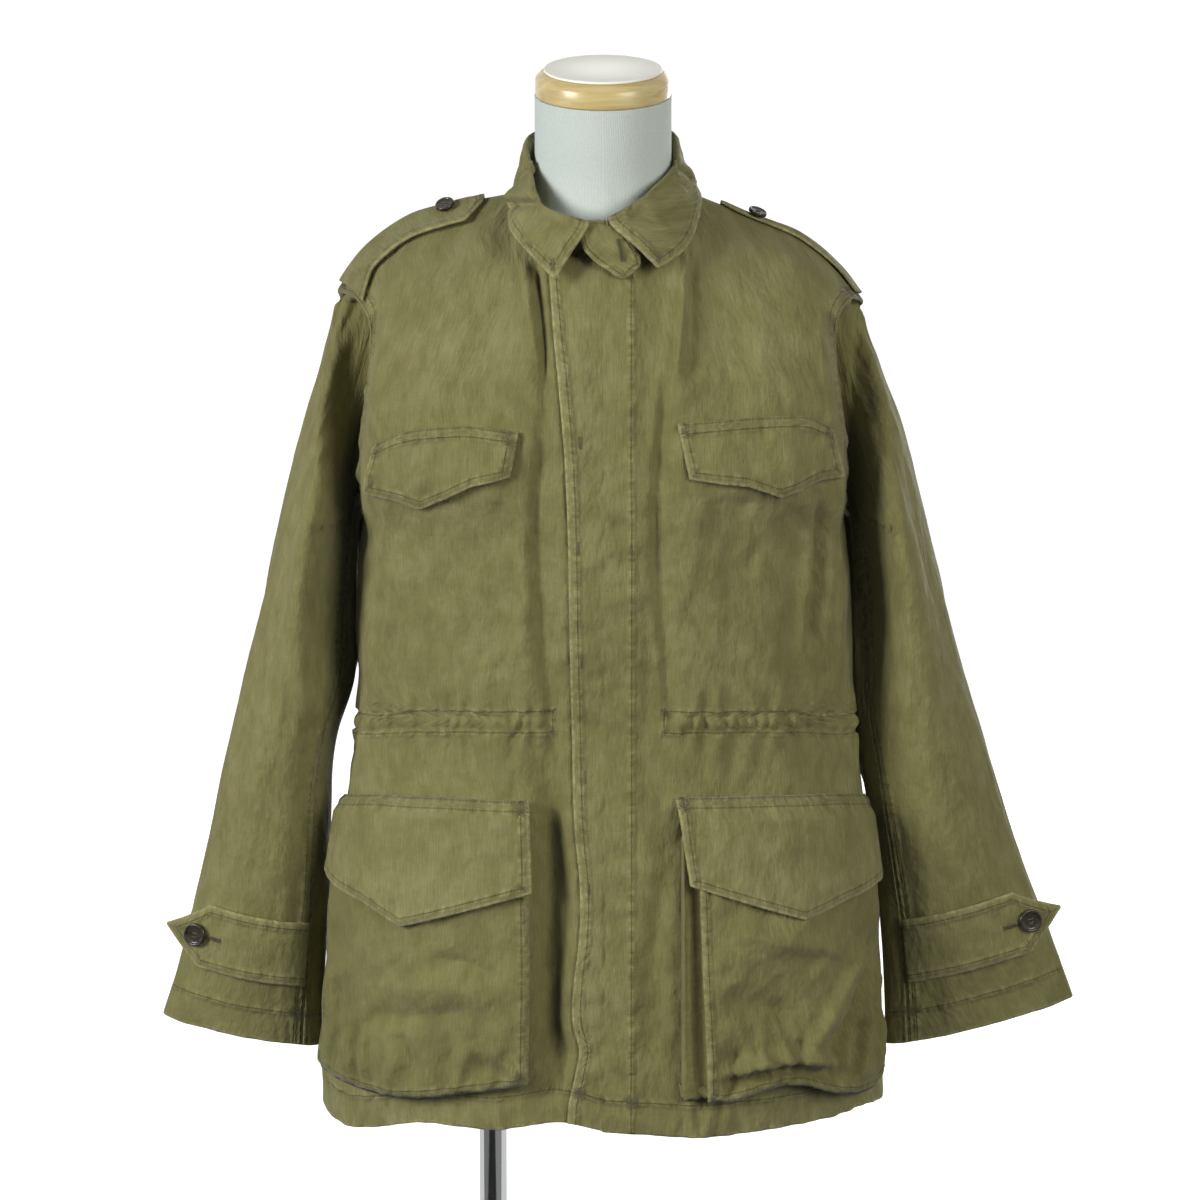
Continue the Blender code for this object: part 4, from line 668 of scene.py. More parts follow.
def cloth_piece(node, grid, wall, finish, cloth, stitch, edge,
                facing=None):
    """A piece of cloth from a grid of points, with its wall. `cloth` is the place of each point on
    the flat cloth, and `stitch` and `edge` its distances from them; the length along the stitching
    follows."""
    name = f"cloth_{node}"
    flipped = facing is not None and (normals(grid) * facing).sum() < 0
    steps = ((1, np.gradient(cloth[:, :, 0], axis=1)), (0, np.gradient(cloth[:, :, 1], axis=0)))
    slopes = [np.gradient(stitch, axis=k) / np.where(np.abs(step) < 1e-7, 1e-7, step)
              for k, step in steps]
    angle = (np.arctan2(slopes[1], slopes[0]) + math.pi / 4) % math.pi - math.pi / 4
    from_middle = cloth - cloth.mean(axis=(0, 1))
    run = from_middle[:, :, 1] * np.cos(angle) - from_middle[:, :, 0] * np.sin(angle)
    grid, cloth, stitch, edge, run = (value[:, ::-1] if flipped else value
                                      for value in (grid, cloth, stitch, edge, run))
    rows, columns = grid.shape[:2]
    mesh = bmesh.new()
    bmesh.ops.create_grid(mesh, x_segments=columns - 1, y_segments=rows - 1, size=1.0)
    data = bpy.data.meshes.new(name)
    mesh.to_mesh(data)
    mesh.free()
    data.vertices.foreach_set("co", grid.reshape(-1))
    corner = np.empty(len(data.loops), dtype=np.int32)
    data.loops.foreach_get("vertex_index", corner)
    data.uv_layers.new(name="cloth").uv.foreach_set(
        "vector", cloth.reshape(-1, 2)[corner].reshape(-1))
    for label, value in (("stitch", stitch), ("edge", edge), ("run", run)):
        layer = data.attributes.new(label, "FLOAT", "POINT")
        layer.data.foreach_set("value", np.ascontiguousarray(value, dtype=np.float32).reshape(-1))
    data.shade_smooth()
    data.materials.append(finish)
    data.update()
    piece = bpy.data.objects.new(name, data)
    scene.collection.objects.link(piece)
    walls = piece.modifiers.new("wall", "SOLIDIFY")
    walls.thickness, walls.offset = wall, 0.0
    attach(piece, "root")
    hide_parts(node)
    flat = [math.ceil(float(lengths(rows).max()) / 0.005) * 0.005
            for rows in (grid, grid.transpose(1, 0, 2))]
    return piece


OLIVE = (0.178, 0.167, 0.060)
SEAM_LINES = (0.0018, 0.0084)       # rows of stitching beside a felled seam
body_cotton = cotton("body cotton", OLIVE)

quarters = {(side, face): shaped(side, face) for side in OUTWARD for face in FACING}
FLY_COLUMNS = {"left": 16, "right": 5}
fronts, laid_on, panel_along = {}, {}, {}
for side, other in (("left", "right"), ("right", "left")):
    versions = []
    for own, taken in zip(quarters[(side, "front")][:2], quarters[(other, "front")][:2]):
        rows = np.arange(len(own), dtype=float)
        first_yoke = len(ROWS) - 1
        rows = np.where(rows > first_yoke,
                        first_yoke + (rows - first_yoke) * (1 - FLY_TOP_DROP), rows)
        low = np.minimum(rows.astype(int), len(own) - 2)
        taken = taken[low] + (taken[low + 1] - taken[low]) * (rows - low)[:, None, None]
        reach = (smooth(FLY["height"], FLY["overlap"], taken[:, 0, 2]) if side == "left"
                 else UNDERLAP)
        run = lengths(taken)
        extra = []
        for share in np.linspace(1.0, 0.0, FLY_COLUMNS[side], endpoint=False):
            at = np.broadcast_to(reach * share, len(taken))
            extra.append([[np.interp(a, r, row[:, k]) for k in range(3)]
                          for a, r, row in zip(at, run, taken)])
        versions.append(np.concatenate([np.array(extra).transpose(1, 0, 2), own], axis=1))
    along = lengths(versions[0])
    along -= along[:, FLY_COLUMNS[side]:FLY_COLUMNS[side] + 1]
    ways = normals(versions[1]) * OUTWARD[side]
    lift = FLY_RAISE * fade(np.clip((along - FLY_INNER) / FLY_SLOPE, 0, 1), 1.0) * (side == "left")
    fronts[side], base = (grid + ways * lift[:, :, None] for grid in versions)
    panel_along[side] = along
    places = np.arange(LAY_START, LAY_END, LAY_STEP)
    run = lengths(base)
    run -= run[:, FLY_COLUMNS[side]:FLY_COLUMNS[side] + 1]
    laid_on[side] = [np.array([[np.interp(places, r, row[:, k]) for k in range(3)]
                               for r, row in zip(run, grid)]).transpose(0, 2, 1)
                     for grid in (base, normals(base) * OUTWARD[side])]

for side, grid in fronts.items():
    along, height = panel_along[side], grid[:, :, 2]
    width = along[:, -1:]
    hem_line = np.broadcast_to(grid[:1, :, 2], grid.shape[:2])
    above_hem = np.maximum(height - hem_line, 0)
    from_casing = np.where(height > UNDERARM, 1.0, casing_off("front", along, height))
    casing_box = np.maximum(np.abs(from_casing) - CASING_WIDTH / 2, CASING_START[side] - along)
    from_seam = width - along
    lines = [above_hem - HEM_STITCH, casing_box, *(from_seam - line for line in SEAM_LINES)]
    if side == "left":
        fly_edge = along - along[:, :1]
        lines += [fly_edge - FLY_STITCH, along - FLY_INNER]
        edge = np.minimum(fly_edge, above_hem)
    else:
        edge = above_hem
    cloth_piece(f"front_{side}", grid, CLOTH, body_cotton, np.stack([along, height], axis=2),
                stitch_field(*lines), edge,
                facing=normals(grid) * OUTWARD[side])

back_sides = [quarters[("right", "back")], quarters[("left", "back")]]
grid = np.concatenate([back_sides[0][0][:, ::-1], back_sides[1][0][:, 1:]], axis=1)
along = np.concatenate([-back_sides[0][2][:, ::-1], back_sides[1][2][:, 1:]], axis=1)
height = grid[:, :, 2]
from_side = np.where(along < 0, along - along[:, :1], along[:, -1:] - along)
from_casing = np.where(height > UNDERARM, 1.0, casing_off("back", np.abs(along), height))
above_hem = np.maximum(height - grid[:1, :, 2], 0)
lines = [above_hem - HEM_STITCH, np.abs(from_casing) - CASING_WIDTH / 2,
         *(from_side - line for line in SEAM_LINES)]
cloth_piece("back", grid, CLOTH, body_cotton, np.stack([along, height], axis=2),
            stitch_field(*lines), above_hem, facing=-normals(grid))


# ==== sleeves ===================================================================================
# Two-piece sleeves of the same twill, set into the armholes. Each is sewn from an upper and an
# under part with felled seams, and turned up and stitched at the cuff.
SLEEVE = {
    "right": table("outer_x outer_z inner_gap inner_z half_depth middle", (
        (0.225, 0.996, -0.0016, 0.800, 0.085, 0.000), (0.232, 0.973, 0.0030, 0.797, 0.090, 0.001),
        (0.242, 0.936, 0.0040, 0.789, 0.092, 0.002), (0.254, 0.890, 0.0035, 0.776, 0.091, 0.004),
        (0.271, 0.825, 0.0020, 0.752, 0.087, 0.006), (0.286, 0.760, 0.0012, 0.716, 0.082, 0.008),
        (0.302, 0.695, 0.0030, 0.668, 0.077, 0.010), (0.317, 0.630, 0.0185, 0.612, 0.071, 0.012),
        (0.332, 0.565, 0.0130, 0.548, 0.065, 0.012), (0.346, 0.502, 0.0070, 0.482, 0.058, 0.011),
        (0.360, 0.443, 0.0050, 0.420, 0.050, 0.010), (0.373, 0.397, 0.0035, 0.370, 0.043, 0.009),
        (0.383, 0.364, 0.0025, 0.337, 0.038, 0.009))),
    "left": table("outer_x outer_z inner_gap inner_z half_depth middle", (
        (0.221, 0.986, -0.0016, 0.800, 0.085, 0.000), (0.226, 0.964, 0.0030, 0.797, 0.090, 0.001),
        (0.239, 0.930, 0.0040, 0.789, 0.092, 0.002), (0.255, 0.883, 0.0030, 0.776, 0.091, 0.004),
        (0.271, 0.822, 0.0015, 0.752, 0.087, 0.006), (0.287, 0.760, 0.0012, 0.716, 0.082, 0.008),
        (0.304, 0.697, 0.0012, 0.668, 0.077, 0.010), (0.321, 0.634, 0.0015, 0.612, 0.070, 0.011),
        (0.342, 0.566, 0.0025, 0.548, 0.062, 0.010), (0.363, 0.502, 0.0040, 0.482, 0.054, 0.008),
        (0.383, 0.449, 0.0050, 0.420, 0.044, 0.006), (0.399, 0.409, 0.0045, 0.371, 0.036, 0.005),
        (0.409, 0.380, 0.0035, 0.338, 0.032, 0.005))),
}
SLEEVE_HEAD = 5             # rings over which the armhole's outline turns into the sleeve's
SLEEVE_FOLDS = {
    "right": ((-0.45, 0.10, 0.62, 0.12, 0.0050), (-0.28, 0.20, 0.75, 0.10, -0.0040),
              (0.40, 0.15, 0.70, 0.14, 0.0045)),
    "left": ((-0.40, 0.06, 0.50, 0.12, 0.0055), (-0.24, 0.16, 0.80, 0.10, -0.0040),
             (0.42, 0.15, 0.70, 0.14, 0.0045)),
}
CUFF_STITCH = 0.028         # above the cuff's edge
SLEEVE_SEAMS = {"upper": (0.0015, 0.0080), "under": (0.0008,)}     # from a seam to its stitching
# Each part's share of the 144 steps round a sleeve, from its outer line round the front.
SLEEVE_PARTS = {"under": np.arange(56, 97),
                "upper": np.concatenate([np.arange(96, 144), np.arange(0, 57)])}


def sleeve_grid(side, n, s):
    """Rings of a sleeve at numbers n from the armhole to the cuff, at turns s round it: from its
    outer line 0 down the front to the underarm at 1 and up the back to 2."""
    ox, oz, gap, iz, depth, middle = (smooth(np.arange(13.0), column, n)[:, None]
                                      for column in SLEEVE[side].values())
    ix = smooth(BODY["height"], BODY[side], iz) + CLOTH + gap
    angle = -s[None, :] * math.pi
    swing = np.cos(angle)
    x = ((ox + ix) / 2 + swing * (ox - ix) / 2) * OUTWARD[side]
    y = middle + np.sin(angle) * depth
    z = (oz + iz) / 2 + swing * (oz - iz) / 2
    grid = np.stack([x, y, z], axis=2)
    front = s % 2 <= 1
    hole = np.where(front[:, None], armhole(side, "front", 1 - np.minimum(s % 2, 1)),
                    armhole(side, "back", np.maximum(s % 2 - 1, 0)))
    grid += (hole - grid[0])[None] * fade(n, SLEEVE_HEAD)[:, None, None]
    down = lengths(grid.transpose(1, 0, 2)).T
    grid[:, :, 1] += (sunk(hole[:, 2]) * front)[None] * fade(np.maximum(down - 0.006, 0), 0.040)
    height = grid[:, :, 2]
    body_half = np.where(height > UNDERARM, 0.202, smooth(BODY["height"], BODY[side], height))
    beside = np.abs(grid[:, :, 0]) - body_half
    deep = (0.80 * (1.0 - fade(down, 0.007)) * fade(np.maximum(height - 0.983, 0), 0.015)
            * fade(np.maximum(0.700 - height, 0), 0.160)
            * fade(np.maximum(beside - 0.010, 0), 0.038))
    grid[:, :, 1] += deep * np.maximum(0.010 - grid[:, :, 1], 0)
    behind = fade(s - 1.14, 0.16) * (s > 0.9)
    stretch = (fade(np.maximum(height - 0.810, 0), 0.030)
               * fade(np.maximum({"right": 0.680, "left": 0.575}[side] - height, 0), 0.020))
    grid[:, :, 0] -= OUTWARD[side] * 0.0060 * behind[None] * stretch
    return grid


def sleeve_rise(side, grid, n, s):
    """Height of a sleeve's folds, creases and waves, and of its large folds alone."""
    turn = np.where(s % 2 <= 1, -(s % 2), 2 - s % 2)[None, :]
    share = (n / 12)[:, None]
    folds = 0.0
    for place, start, end, width, rise in SLEEVE_FOLDS[side]:
        folds = folds + (rise * np.exp(-((turn - place) / width) ** 2)
                         * fade(share - (start + end) / 2, (end - start) / 2))
    down = lengths(grid.transpose(1, 0, 2)).T
    around = turn * 0.26 * OUTWARD[side] + 5.0
    small = (0.0026 * ripple(21, around * 15, down * 4.2)
             + 0.0014 * ripple(22, around * 34, down * 9)
             + 0.0005 * ripple(23, around * 80, down * 30)
             - 0.0020 * np.abs(ripple(25, around * 24, down * 8))
             - 0.0010 * np.abs(ripple(26, around * 46, down * 20)))
    inner = fade(np.abs(turn) - 1.0, 0.28)
    small = small * (1.0 - 0.75 * inner)
    head = fade(down, 0.085) * (1.0 - fade(down, 0.004))
    small += (0.0044 * head * ripple(24, around * 62, down * 5)
              - 0.0030 * fade(down - 0.009, 0.008) * fade(turn, 0.7))
    return folds, small * (1.0 - fade(down, 0.006))


# The sleeves' cotton is a little darker: painted shade.
sleeve_cotton_painted_shade = cotton("sleeve cotton", OLIVE, 0.97, 3.1)
sleeve_n = np.linspace(0.0, 12.0, 166)
sleeves = {}
for side in OUTWARD:
    fine_s = np.linspace(0.0, 2.0, 145)
    surface = sleeve_grid(side, sleeve_n, fine_s)
    folds, small = sleeve_rise(side, surface, sleeve_n, fine_s)
    wrapped = np.concatenate([surface[:, -2:-1], surface, surface[:, 1:2]], axis=1)
    ways = normals(wrapped)[:, 1:-1] * OUTWARD[side]
    if ways[80, 0, 0] * OUTWARD[side] < 0:
        ways = -ways
    sleeves[side] = (surface + ways * folds[:, :, None], ways)
    surface = surface + ways * (folds + small)[:, :, None]
    up = lengths(surface[::-1].transpose(1, 0, 2)).T[::-1]
    for part, columns in SLEEVE_PARTS.items():
        grid, part_up = surface[:, columns], up[:, columns]
        across = lengths(grid)
        edge_off = np.minimum(across, across[:, -1:] - across)
        lines = [part_up - CUFF_STITCH, *(edge_off - line for line in SLEEVE_SEAMS[part])]
        cloth_piece(f"sleeve_{part}_{side}", grid, CLOTH, sleeve_cotton_painted_shade,
                    np.stack([across, part_up], axis=2), stitch_field(*lines), part_up,
                    facing=ways[:, columns])


# ==== flaps and pockets =========================================================================
# Flaps of doubled twill, pointed in the middle, sewn on above the chest pockets inside and above
# the bellows pockets of the skirt. Each is turned, stitched round and sewn down twice along its
# top. The bellows pockets are patches whose sides and bottom fold out.
FLAPS = {
    "chest_flap_right": dict(
        side="right", stand_off=0.0030, pocket=None,
        top=((0.0704, 0.886), (0.109, 0.891), (0.136, 0.8895), (0.162, 0.8865), (0.180, 0.880),
             (0.196, 0.8715)),
        bottom=((0.0784, 0.8498), (0.109, 0.842), (0.1537, 0.8221), (0.182, 0.829),
                (0.2130, 0.8325))),
    "chest_flap_left": dict(
        side="left", stand_off=0.0045, pocket=None,
        top=((0.0615, 0.8934), (0.110, 0.8964), (0.139, 0.8978), (0.170, 0.898), (0.1835, 0.8925),
             (0.1955, 0.885)),
        bottom=((0.0729, 0.848), (0.122, 0.8417), (0.1492, 0.8329), (0.186, 0.8453),
                (0.212, 0.8461))),
    "lower_flap_right": dict(
        side="right", stand_off=0.0010, pocket="lower_pocket_right",
        top=((0.0623, 0.5750), (0.138, 0.5750), (0.200, 0.5720), (0.249, 0.5640), (0.268, 0.5610)),
        bottom=((0.0615, 0.4998), (0.1125, 0.4835), (0.1664, 0.4665), (0.202, 0.4830),
                (0.2705, 0.4960))),
    "lower_flap_left": dict(
        side="left", stand_off=0.0015, pocket="lower_pocket_left",
        top=((0.0602, 0.5783), (0.141, 0.5765), (0.200, 0.5730), (0.2630, 0.5630)),
        bottom=((0.0706, 0.5068), (0.116, 0.4907), (0.1629, 0.4736), (0.200, 0.4849),
                (0.2660, 0.4950))),
}
POCKETS = {
    "lower_pocket_right": dict(
        side="right", inner=0.064, width=0.204, top=0.546, bottom=0.337,
        stand=(0.0120, 0.0145, 0.0080), moved=-0.003, inward=(0.006, 0.004),
        slant=0.5, waves=(0.0044, 0.0034), creased=1.15,
        rim=((0.0577, 0.3394), (0.110, 0.3300), (0.1787, 0.3204), (0.220, 0.3245),
             (0.2700, 0.3360))),
    "lower_pocket_left": dict(
        side="left", inner=0.0665, width=0.196, top=0.546, bottom=0.337,
        stand=(0.0170, 0.0200, 0.0070), moved=0.017, inward=(0.013, 0.004),
        slant=-0.5, waves=(0.0056, 0.0048), creased=1.5,
        gusset=((0.00, 0.005, 0.45), (0.05, 0.000, 0.16), (0.55, 0.000, 0.26),
                (0.93, 0.000, 0.60), (1.00, 0.000, 0.00)),
        rim=((0.0851, 0.3236), (0.149, 0.3340), (0.198, 0.3205), (0.226, 0.3180),
             (0.2650, 0.3320))),
}
# Creases of a pocket's front: shares of its width and height, then width, rise and lean.
POCKET_CREASES = {
    "lower_pocket_right": (
        (((0.70, 0.66), (0.69, 0.85), (0.70, 1.00)), 0.0040, 0.0042, 0.3),
        (((0.73, 0.70), (0.735, 1.00)), 0.0050, -0.0030, 0.0),
        (((0.55, 0.74), (0.47, 0.86), (0.44, 1.00)), 0.0070, -0.0040, 0.3),
        (((0.60, 0.80), (0.53, 0.92), (0.51, 1.00)), 0.0060, 0.0034, 0.0),
        (((0.31, 0.82), (0.35, 0.92), (0.34, 1.00)), 0.0060, -0.0034, 0.0),
        (((0.22, 0.80), (0.28, 0.92), (0.27, 1.00)), 0.0060, 0.0038, 0.3),
        (((0.84, 0.72), (0.78, 0.86), (0.79, 1.00)), 0.0070, 0.0040, 0.0),
        (((0.15, 0.82), (0.08, 0.90), (0.01, 0.99)), 0.0050, 0.0060, 0.4),
        (((0.22, 0.86), (0.13, 0.95), (0.08, 1.00)), 0.0070, -0.0032, 0.0),
        (((0.92, 0.56), (0.89, 0.72), (0.87, 0.88)), 0.0060, 0.0044, 0.3),
        (((0.86, 0.60), (0.83, 0.80), (0.84, 1.00)), 0.0070, -0.0040, 0.0),
        (((0.76, 0.73), (0.50, 0.70), (0.20, 0.68)), 0.0110, -0.0048, 0.3),
        (((0.60, 0.60), (0.35, 0.58), (0.12, 0.62)), 0.0090, 0.0034, 0.0),
        (((0.40, 0.46), (0.24, 0.50), (0.10, 0.56)), 0.0080, -0.0034, 0.3),
        (((0.58, 1.00), (0.56, 0.90), (0.52, 0.84)), 0.0050, 0.0040, 0.0)),
    "lower_pocket_left": (
        (((0.90, 0.40), (0.80, 0.59), (0.64, 0.81), (0.56, 0.96)), 0.0080, -0.0085, 0.4),
        (((0.82, 0.40), (0.70, 0.58), (0.54, 0.78), (0.46, 0.90)), 0.0090, 0.0050, 0.3),
        (((0.96, 0.55), (0.93, 0.75), (0.88, 0.95)), 0.0060, 0.0060, 0.0),
        (((0.88, 0.62), (0.82, 0.80), (0.76, 0.97)), 0.0050, 0.0050, 0.3),
        (((0.84, 0.72), (0.76, 0.84), (0.70, 0.98)), 0.0045, -0.0060, 0.0),
        (((0.02, 0.905), (0.20, 0.890), (0.45, 0.905), (0.72, 0.880)), 0.0055, 0.0070, 0.4),
        (((0.04, 0.950), (0.25, 0.940), (0.50, 0.950), (0.74, 0.935)), 0.0050, -0.0060, 0.0),
        (((0.22, 0.84), (0.30, 0.92), (0.33, 1.00)), 0.0045, 0.0045, 0.0),
        (((0.45, 0.80), (0.42, 0.90), (0.44, 1.00)), 0.0045, -0.0050, 0.0),
        (((0.14, 0.80), (0.12, 0.90), (0.10, 1.00)), 0.0050, -0.0045, 0.0),
        (((0.10, 0.34), (0.40, 0.44), (0.74, 0.47)), 0.0090, 0.0034, 0.3),
        (((0.06, 0.60), (0.25, 0.66), (0.42, 0.74)), 0.0090, -0.0036, 0.0)),
}
POCKET_MOUTH, POCKET_TUCK, POCKET_STITCH = 0.55, 0.0022, 0.0050
BELLOWS, BELLOWS_STEP = 5, 0.003    # rows of a pocket's folded-in sides and bottom
FLAP_CLEAR, FLAP_OVER = 0.0003, 0.014
FLAP_STITCH = 0.0064        # from a flap's edge to its row of stitching


def on_front(side, along, height, out):
    """Points that lie `along` metres round a front from the middle line, at a height, moved out
    from the middle of its cloth."""
    grid, ways = laid_on[side]
    shape = along.shape
    along, height = along.reshape(-1), height.reshape(-1)
    out = np.broadcast_to(out, shape).reshape(-1, 1)
    k = np.clip((along - LAY_START) / LAY_STEP, 0, grid.shape[1] - 1.001)
    j, share = k.astype(int), (k % 1.0)
    heights = grid[:, j, 2] * (1 - share) + grid[:, j + 1, 2] * share
    i = np.clip((heights < height).sum(axis=0) - 1, 0, len(grid) - 2)
    each = np.arange(len(along))
    up = ((height - heights[i, each]) / (heights[i + 1, each] - heights[i, each]))[:, None]
    share = share[:, None]

    def at(table_of):
        low = table_of[i, j] * (1 - share) + table_of[i, j + 1] * share
        high = table_of[i + 1, j] * (1 - share) + table_of[i + 1, j + 1] * share
        return low * (1 - up) + high * up

    return (at(grid) + unit(at(ways)) * out).reshape(*shape, 3)


def pocket_stand(pocket, across, down):
    """How far the front of a bellows pocket stands off, at shares of its width and height."""
    inner, middle, outer = pocket["stand"]
    stand = inner + (outer - inner) * across
    stand = stand + (middle - (inner + outer) / 2) * np.sin(math.pi * across)
    return stand * (POCKET_MOUTH
                    + (1 - POCKET_MOUTH) * np.sin(math.pi * np.minimum(down + 0.1, 0.6)))


# The flaps' cotton is a little paler, painted light, and the pockets' darker, painted shade.
flap_cotton_painted_light = cotton("flap cotton", OLIVE, 1.01, 7.7)
pocket_cotton_painted_shade = cotton("pocket cotton", OLIVE, 0.88, 12.4)
for number, (name, cut) in enumerate(FLAPS.items()):
    pocket = POCKETS.get(cut["pocket"])
    top, bottom = np.array(cut["top"]), np.array(cut["bottom"])
    width = top[-1, 0] - top[0, 0]
    c = np.linspace(0, 1, int(width / 0.0020) + 1)[None, :]
    ends = []
    for line in (top, bottom):
        places = (line[:, 0] - line[0, 0]) / (line[-1, 0] - line[0, 0])
        ends.append(np.array([np.interp(c[0], places, line[:, k]) for k in (0, 1)]))
    ends[0][1] = np.convolve(np.pad(ends[0][1], 6, mode="edge"), np.ones(13) / 13, mode="valid")
    depth = ends[0][1] - ends[1][1]
    r = np.linspace(0, 1, int(depth.max() / 0.0020) + 1)[:, None]
    fall = depth * r
    height = ends[0][1] - fall
    along = ends[0][0] * (1 - r) + ends[1][0] * r
    out = LIE_ON_PANEL + FLAP_CLEAR + cut["stand_off"] * r * np.sin(math.pi * (0.2 + 0.6 * c))
    if pocket:
        down = (pocket["top"] - height) / (pocket["top"] - pocket["bottom"])
        over = np.clip(fall / (top[0, 1] - pocket["top"] - FLAP_OVER), 0, 1)
        out = out + (pocket_stand(pocket, c, np.maximum(down, 0)) + CLOTH + LAY_GAP) * over
    from_side = np.minimum(c, 1 - c) * width + 0 * r
    from_bottom = (1 - r) * depth
    edge = np.minimum(from_side, from_bottom)
    free = 1.0 - fade(fall, 0.012)
    wave = (0.0022 * ripple(31 + number, along * 30, height * 22)
            + 0.0010 * ripple(41 + number, along * 80, height * 60)
            - 0.0026 * np.abs(ripple(35 + number, along * 26 + 20 * height, height * 30)))
    curl = 0.0020 * fade(edge, 0.016) * ripple(51 + number, (along + height) * 26, height * 9)
    if pocket:
        wave = np.maximum(wave + curl, -0.0006) - curl
    puff = 0.0004 * fade(edge - 0.003, 0.003) + 0.0013 * fade(fall - 0.0050, 0.0042)
    out = out + (wave + curl + 0.0007) * free + puff
    grid = on_front(cut["side"], along, height, out)
    lines = [edge - FLAP_STITCH, fall - 0.0016, fall - 0.0086]
    cloth_piece(name, grid, DOUBLE_CLOTH, flap_cotton_painted_light, np.stack([along, height], axis=2),
                stitch_field(*lines), edge,
                facing=normals(grid) * OUTWARD[cut["side"]] * -1)

for number, (name, pocket) in enumerate(POCKETS.items()):
    side = pocket["side"]
    lie = CLOTH / 2 + LAY_GAP + CLOTH / 2
    across = np.linspace(0, 1, int(pocket["width"] / 0.0024) + 1)[None, :]
    down = np.linspace(0, 1, 84)[:, None]
    rim = np.array(pocket["rim"])
    drop = pocket["top"] - smooth(rim[:, 0], rim[:, 1], pocket["inner"] + pocket["width"] * across)
    height = pocket["top"] - drop * down
    moved = pocket["moved"] * (POCKET_MOUTH + (1 - POCKET_MOUTH) * down)
    along = (pocket["inner"] + pocket["width"] * across + POCKET_TUCK * (1 - 2 * across)
             + moved * (1 - across))
    stand = pocket_stand(pocket, across, down)
    edge = np.minimum(np.minimum(across, 1 - across) * pocket["width"], (1 - down) * drop)
    inside = 1.0 - fade(edge, 0.02)
    slanted = along + pocket["slant"] * height
    wave = (pocket["waves"][0] * ripple(61 + number, slanted * 15, height * 16)
            - pocket["waves"][1] * np.abs(ripple(71 + number, slanted * 26, height * 26))
            + 0.0014 * ripple(81 + number, slanted * 60, height * 50))
    wide, tall = pocket["width"], pocket["top"] - pocket["bottom"]
    for line, *shape in POCKET_CREASES[name]:
        line = [(a * wide, b * tall) for a, b in line]
        wave = wave + pocket["creased"] * crease(across * wide + 0 * down, down * tall + 0 * across,
                                                 line, *shape, ends=0.2)
    pleats = np.random.default_rng(63 + number)
    for place in np.linspace(0.06, 0.94, 12) + pleats.uniform(-0.03, 0.03, 12):
        tall, lean = pleats.uniform(0.03, 0.09), pleats.uniform(-0.5, 0.5)
        rise, narrow = pleats.uniform(0.0016, 0.0048), pleats.uniform(0.003, 0.007)
        from_rim = (1 - down) * drop
        off = (across - place) * wide - lean * from_rim
        wave = wave + rise * fade(from_rim, tall) * np.exp(-(off / narrow) ** 2)
    wave = wave * (1 - 0.85 * fade(drop * down - 0.030, 0.030))
    out = (lie + np.maximum(stand + wave * (0.45 + 0.55 * inside), 0.0012)
           + 0.0003 * fade(edge - 0.003, 0.003))
    front = on_front(side, along, height, out)
    # The folded-in sides and bottom, from the front's edge back to where they are sewn on.
    share = np.linspace(0, 1, BELLOWS + 1)[:, None, None]

    def bellows(rim, sewn, inward):
        fold = np.sin(math.pi * share) * inward
        return rim[None] * (1 - share) + sewn[None] * share + fold

    sewn_height = height[:, 0]
    sides = []
    for column, place in ((0, pocket["inner"]), (-1, pocket["inner"] + wide)):
        sewn = on_front(side, np.full_like(sewn_height, place), sewn_height, lie)
        inward = (unit(front[:, 1 if column == 0 else -2] - front[:, column])
                  * pocket["inward"][column])
        sides.append(bellows(front[:, column], sewn, inward[None])[1:])
        if column == 0 and "gusset" in pocket:
            sides[0] = np.array([
                on_front(side, along[:, 0] + (place - along[:, 0]) * toward + extra,
                         sewn_height, lie + stand[:, 0] * share_out)
                for toward, extra, share_out in pocket["gusset"]])
    grid = np.concatenate([sides[0][::-1].transpose(1, 0, 2), front,
                           sides[1].transpose(1, 0, 2)], axis=1)
    sewn = on_front(side, np.concatenate([np.full(BELLOWS, pocket["inner"] - POCKET_TUCK),
                                          along[-1],
                                          np.full(BELLOWS, pocket["inner"] + wide + POCKET_TUCK)]),
                    np.full(grid.shape[1], pocket["bottom"]), lie)
    under = bellows(grid[-1], sewn, np.array((0, 0, 0.0012)))[1:]
    grid = np.concatenate([grid, under], axis=0)
    folded = BELLOWS_STEP * np.arange(1, BELLOWS + 1)
    flat_along = np.concatenate([along[:1, :1] - folded[None, ::-1], along[:1],
                                 along[:1, -1:] + folded[None]], axis=1) + 0 * grid[:, :1, 0]
    flat_height = (np.concatenate([height[:, :1], pocket["bottom"] - folded[:, None]])
                   + 0 * grid[:1, :, 0])
    margins = ((0, BELLOWS), (BELLOWS, BELLOWS))
    full_edge = np.pad(edge, margins, mode="edge")
    full_edge[:, :BELLOWS] = full_edge[:, -BELLOWS:] = 2 * BELLOWS_STEP
    full_edge[-BELLOWS:] = 2 * BELLOWS_STEP
    stitch = np.pad(edge - POCKET_STITCH, margins, constant_values=-0.02)
    cloth_piece(name, grid, CLOTH, pocket_cotton_painted_shade, np.stack([flat_along, flat_height], axis=2),
                stitch, full_edge,
                facing=normals(grid) * OUTWARD[side] * -1)


# ==== shoulder straps ===========================================================================
# Straps of doubled twill that lie across the shoulder seams. They are sewn in with the armholes,
# and the pointed end near the collar is buttoned down.
STRAP = table("share front back", ((0.150, 0.006, 0.003), (0.235, 0.029, 0.016),
                                   (0.600, 0.034, 0.018), (0.800, 0.040, 0.020),
                                   (0.970, 0.060, 0.020)))
STRAP_BACK = {"right": 0.0, "left": 0.024}      # how far each strap has slipped to the back
STRAP_CLEAR = 0.0003


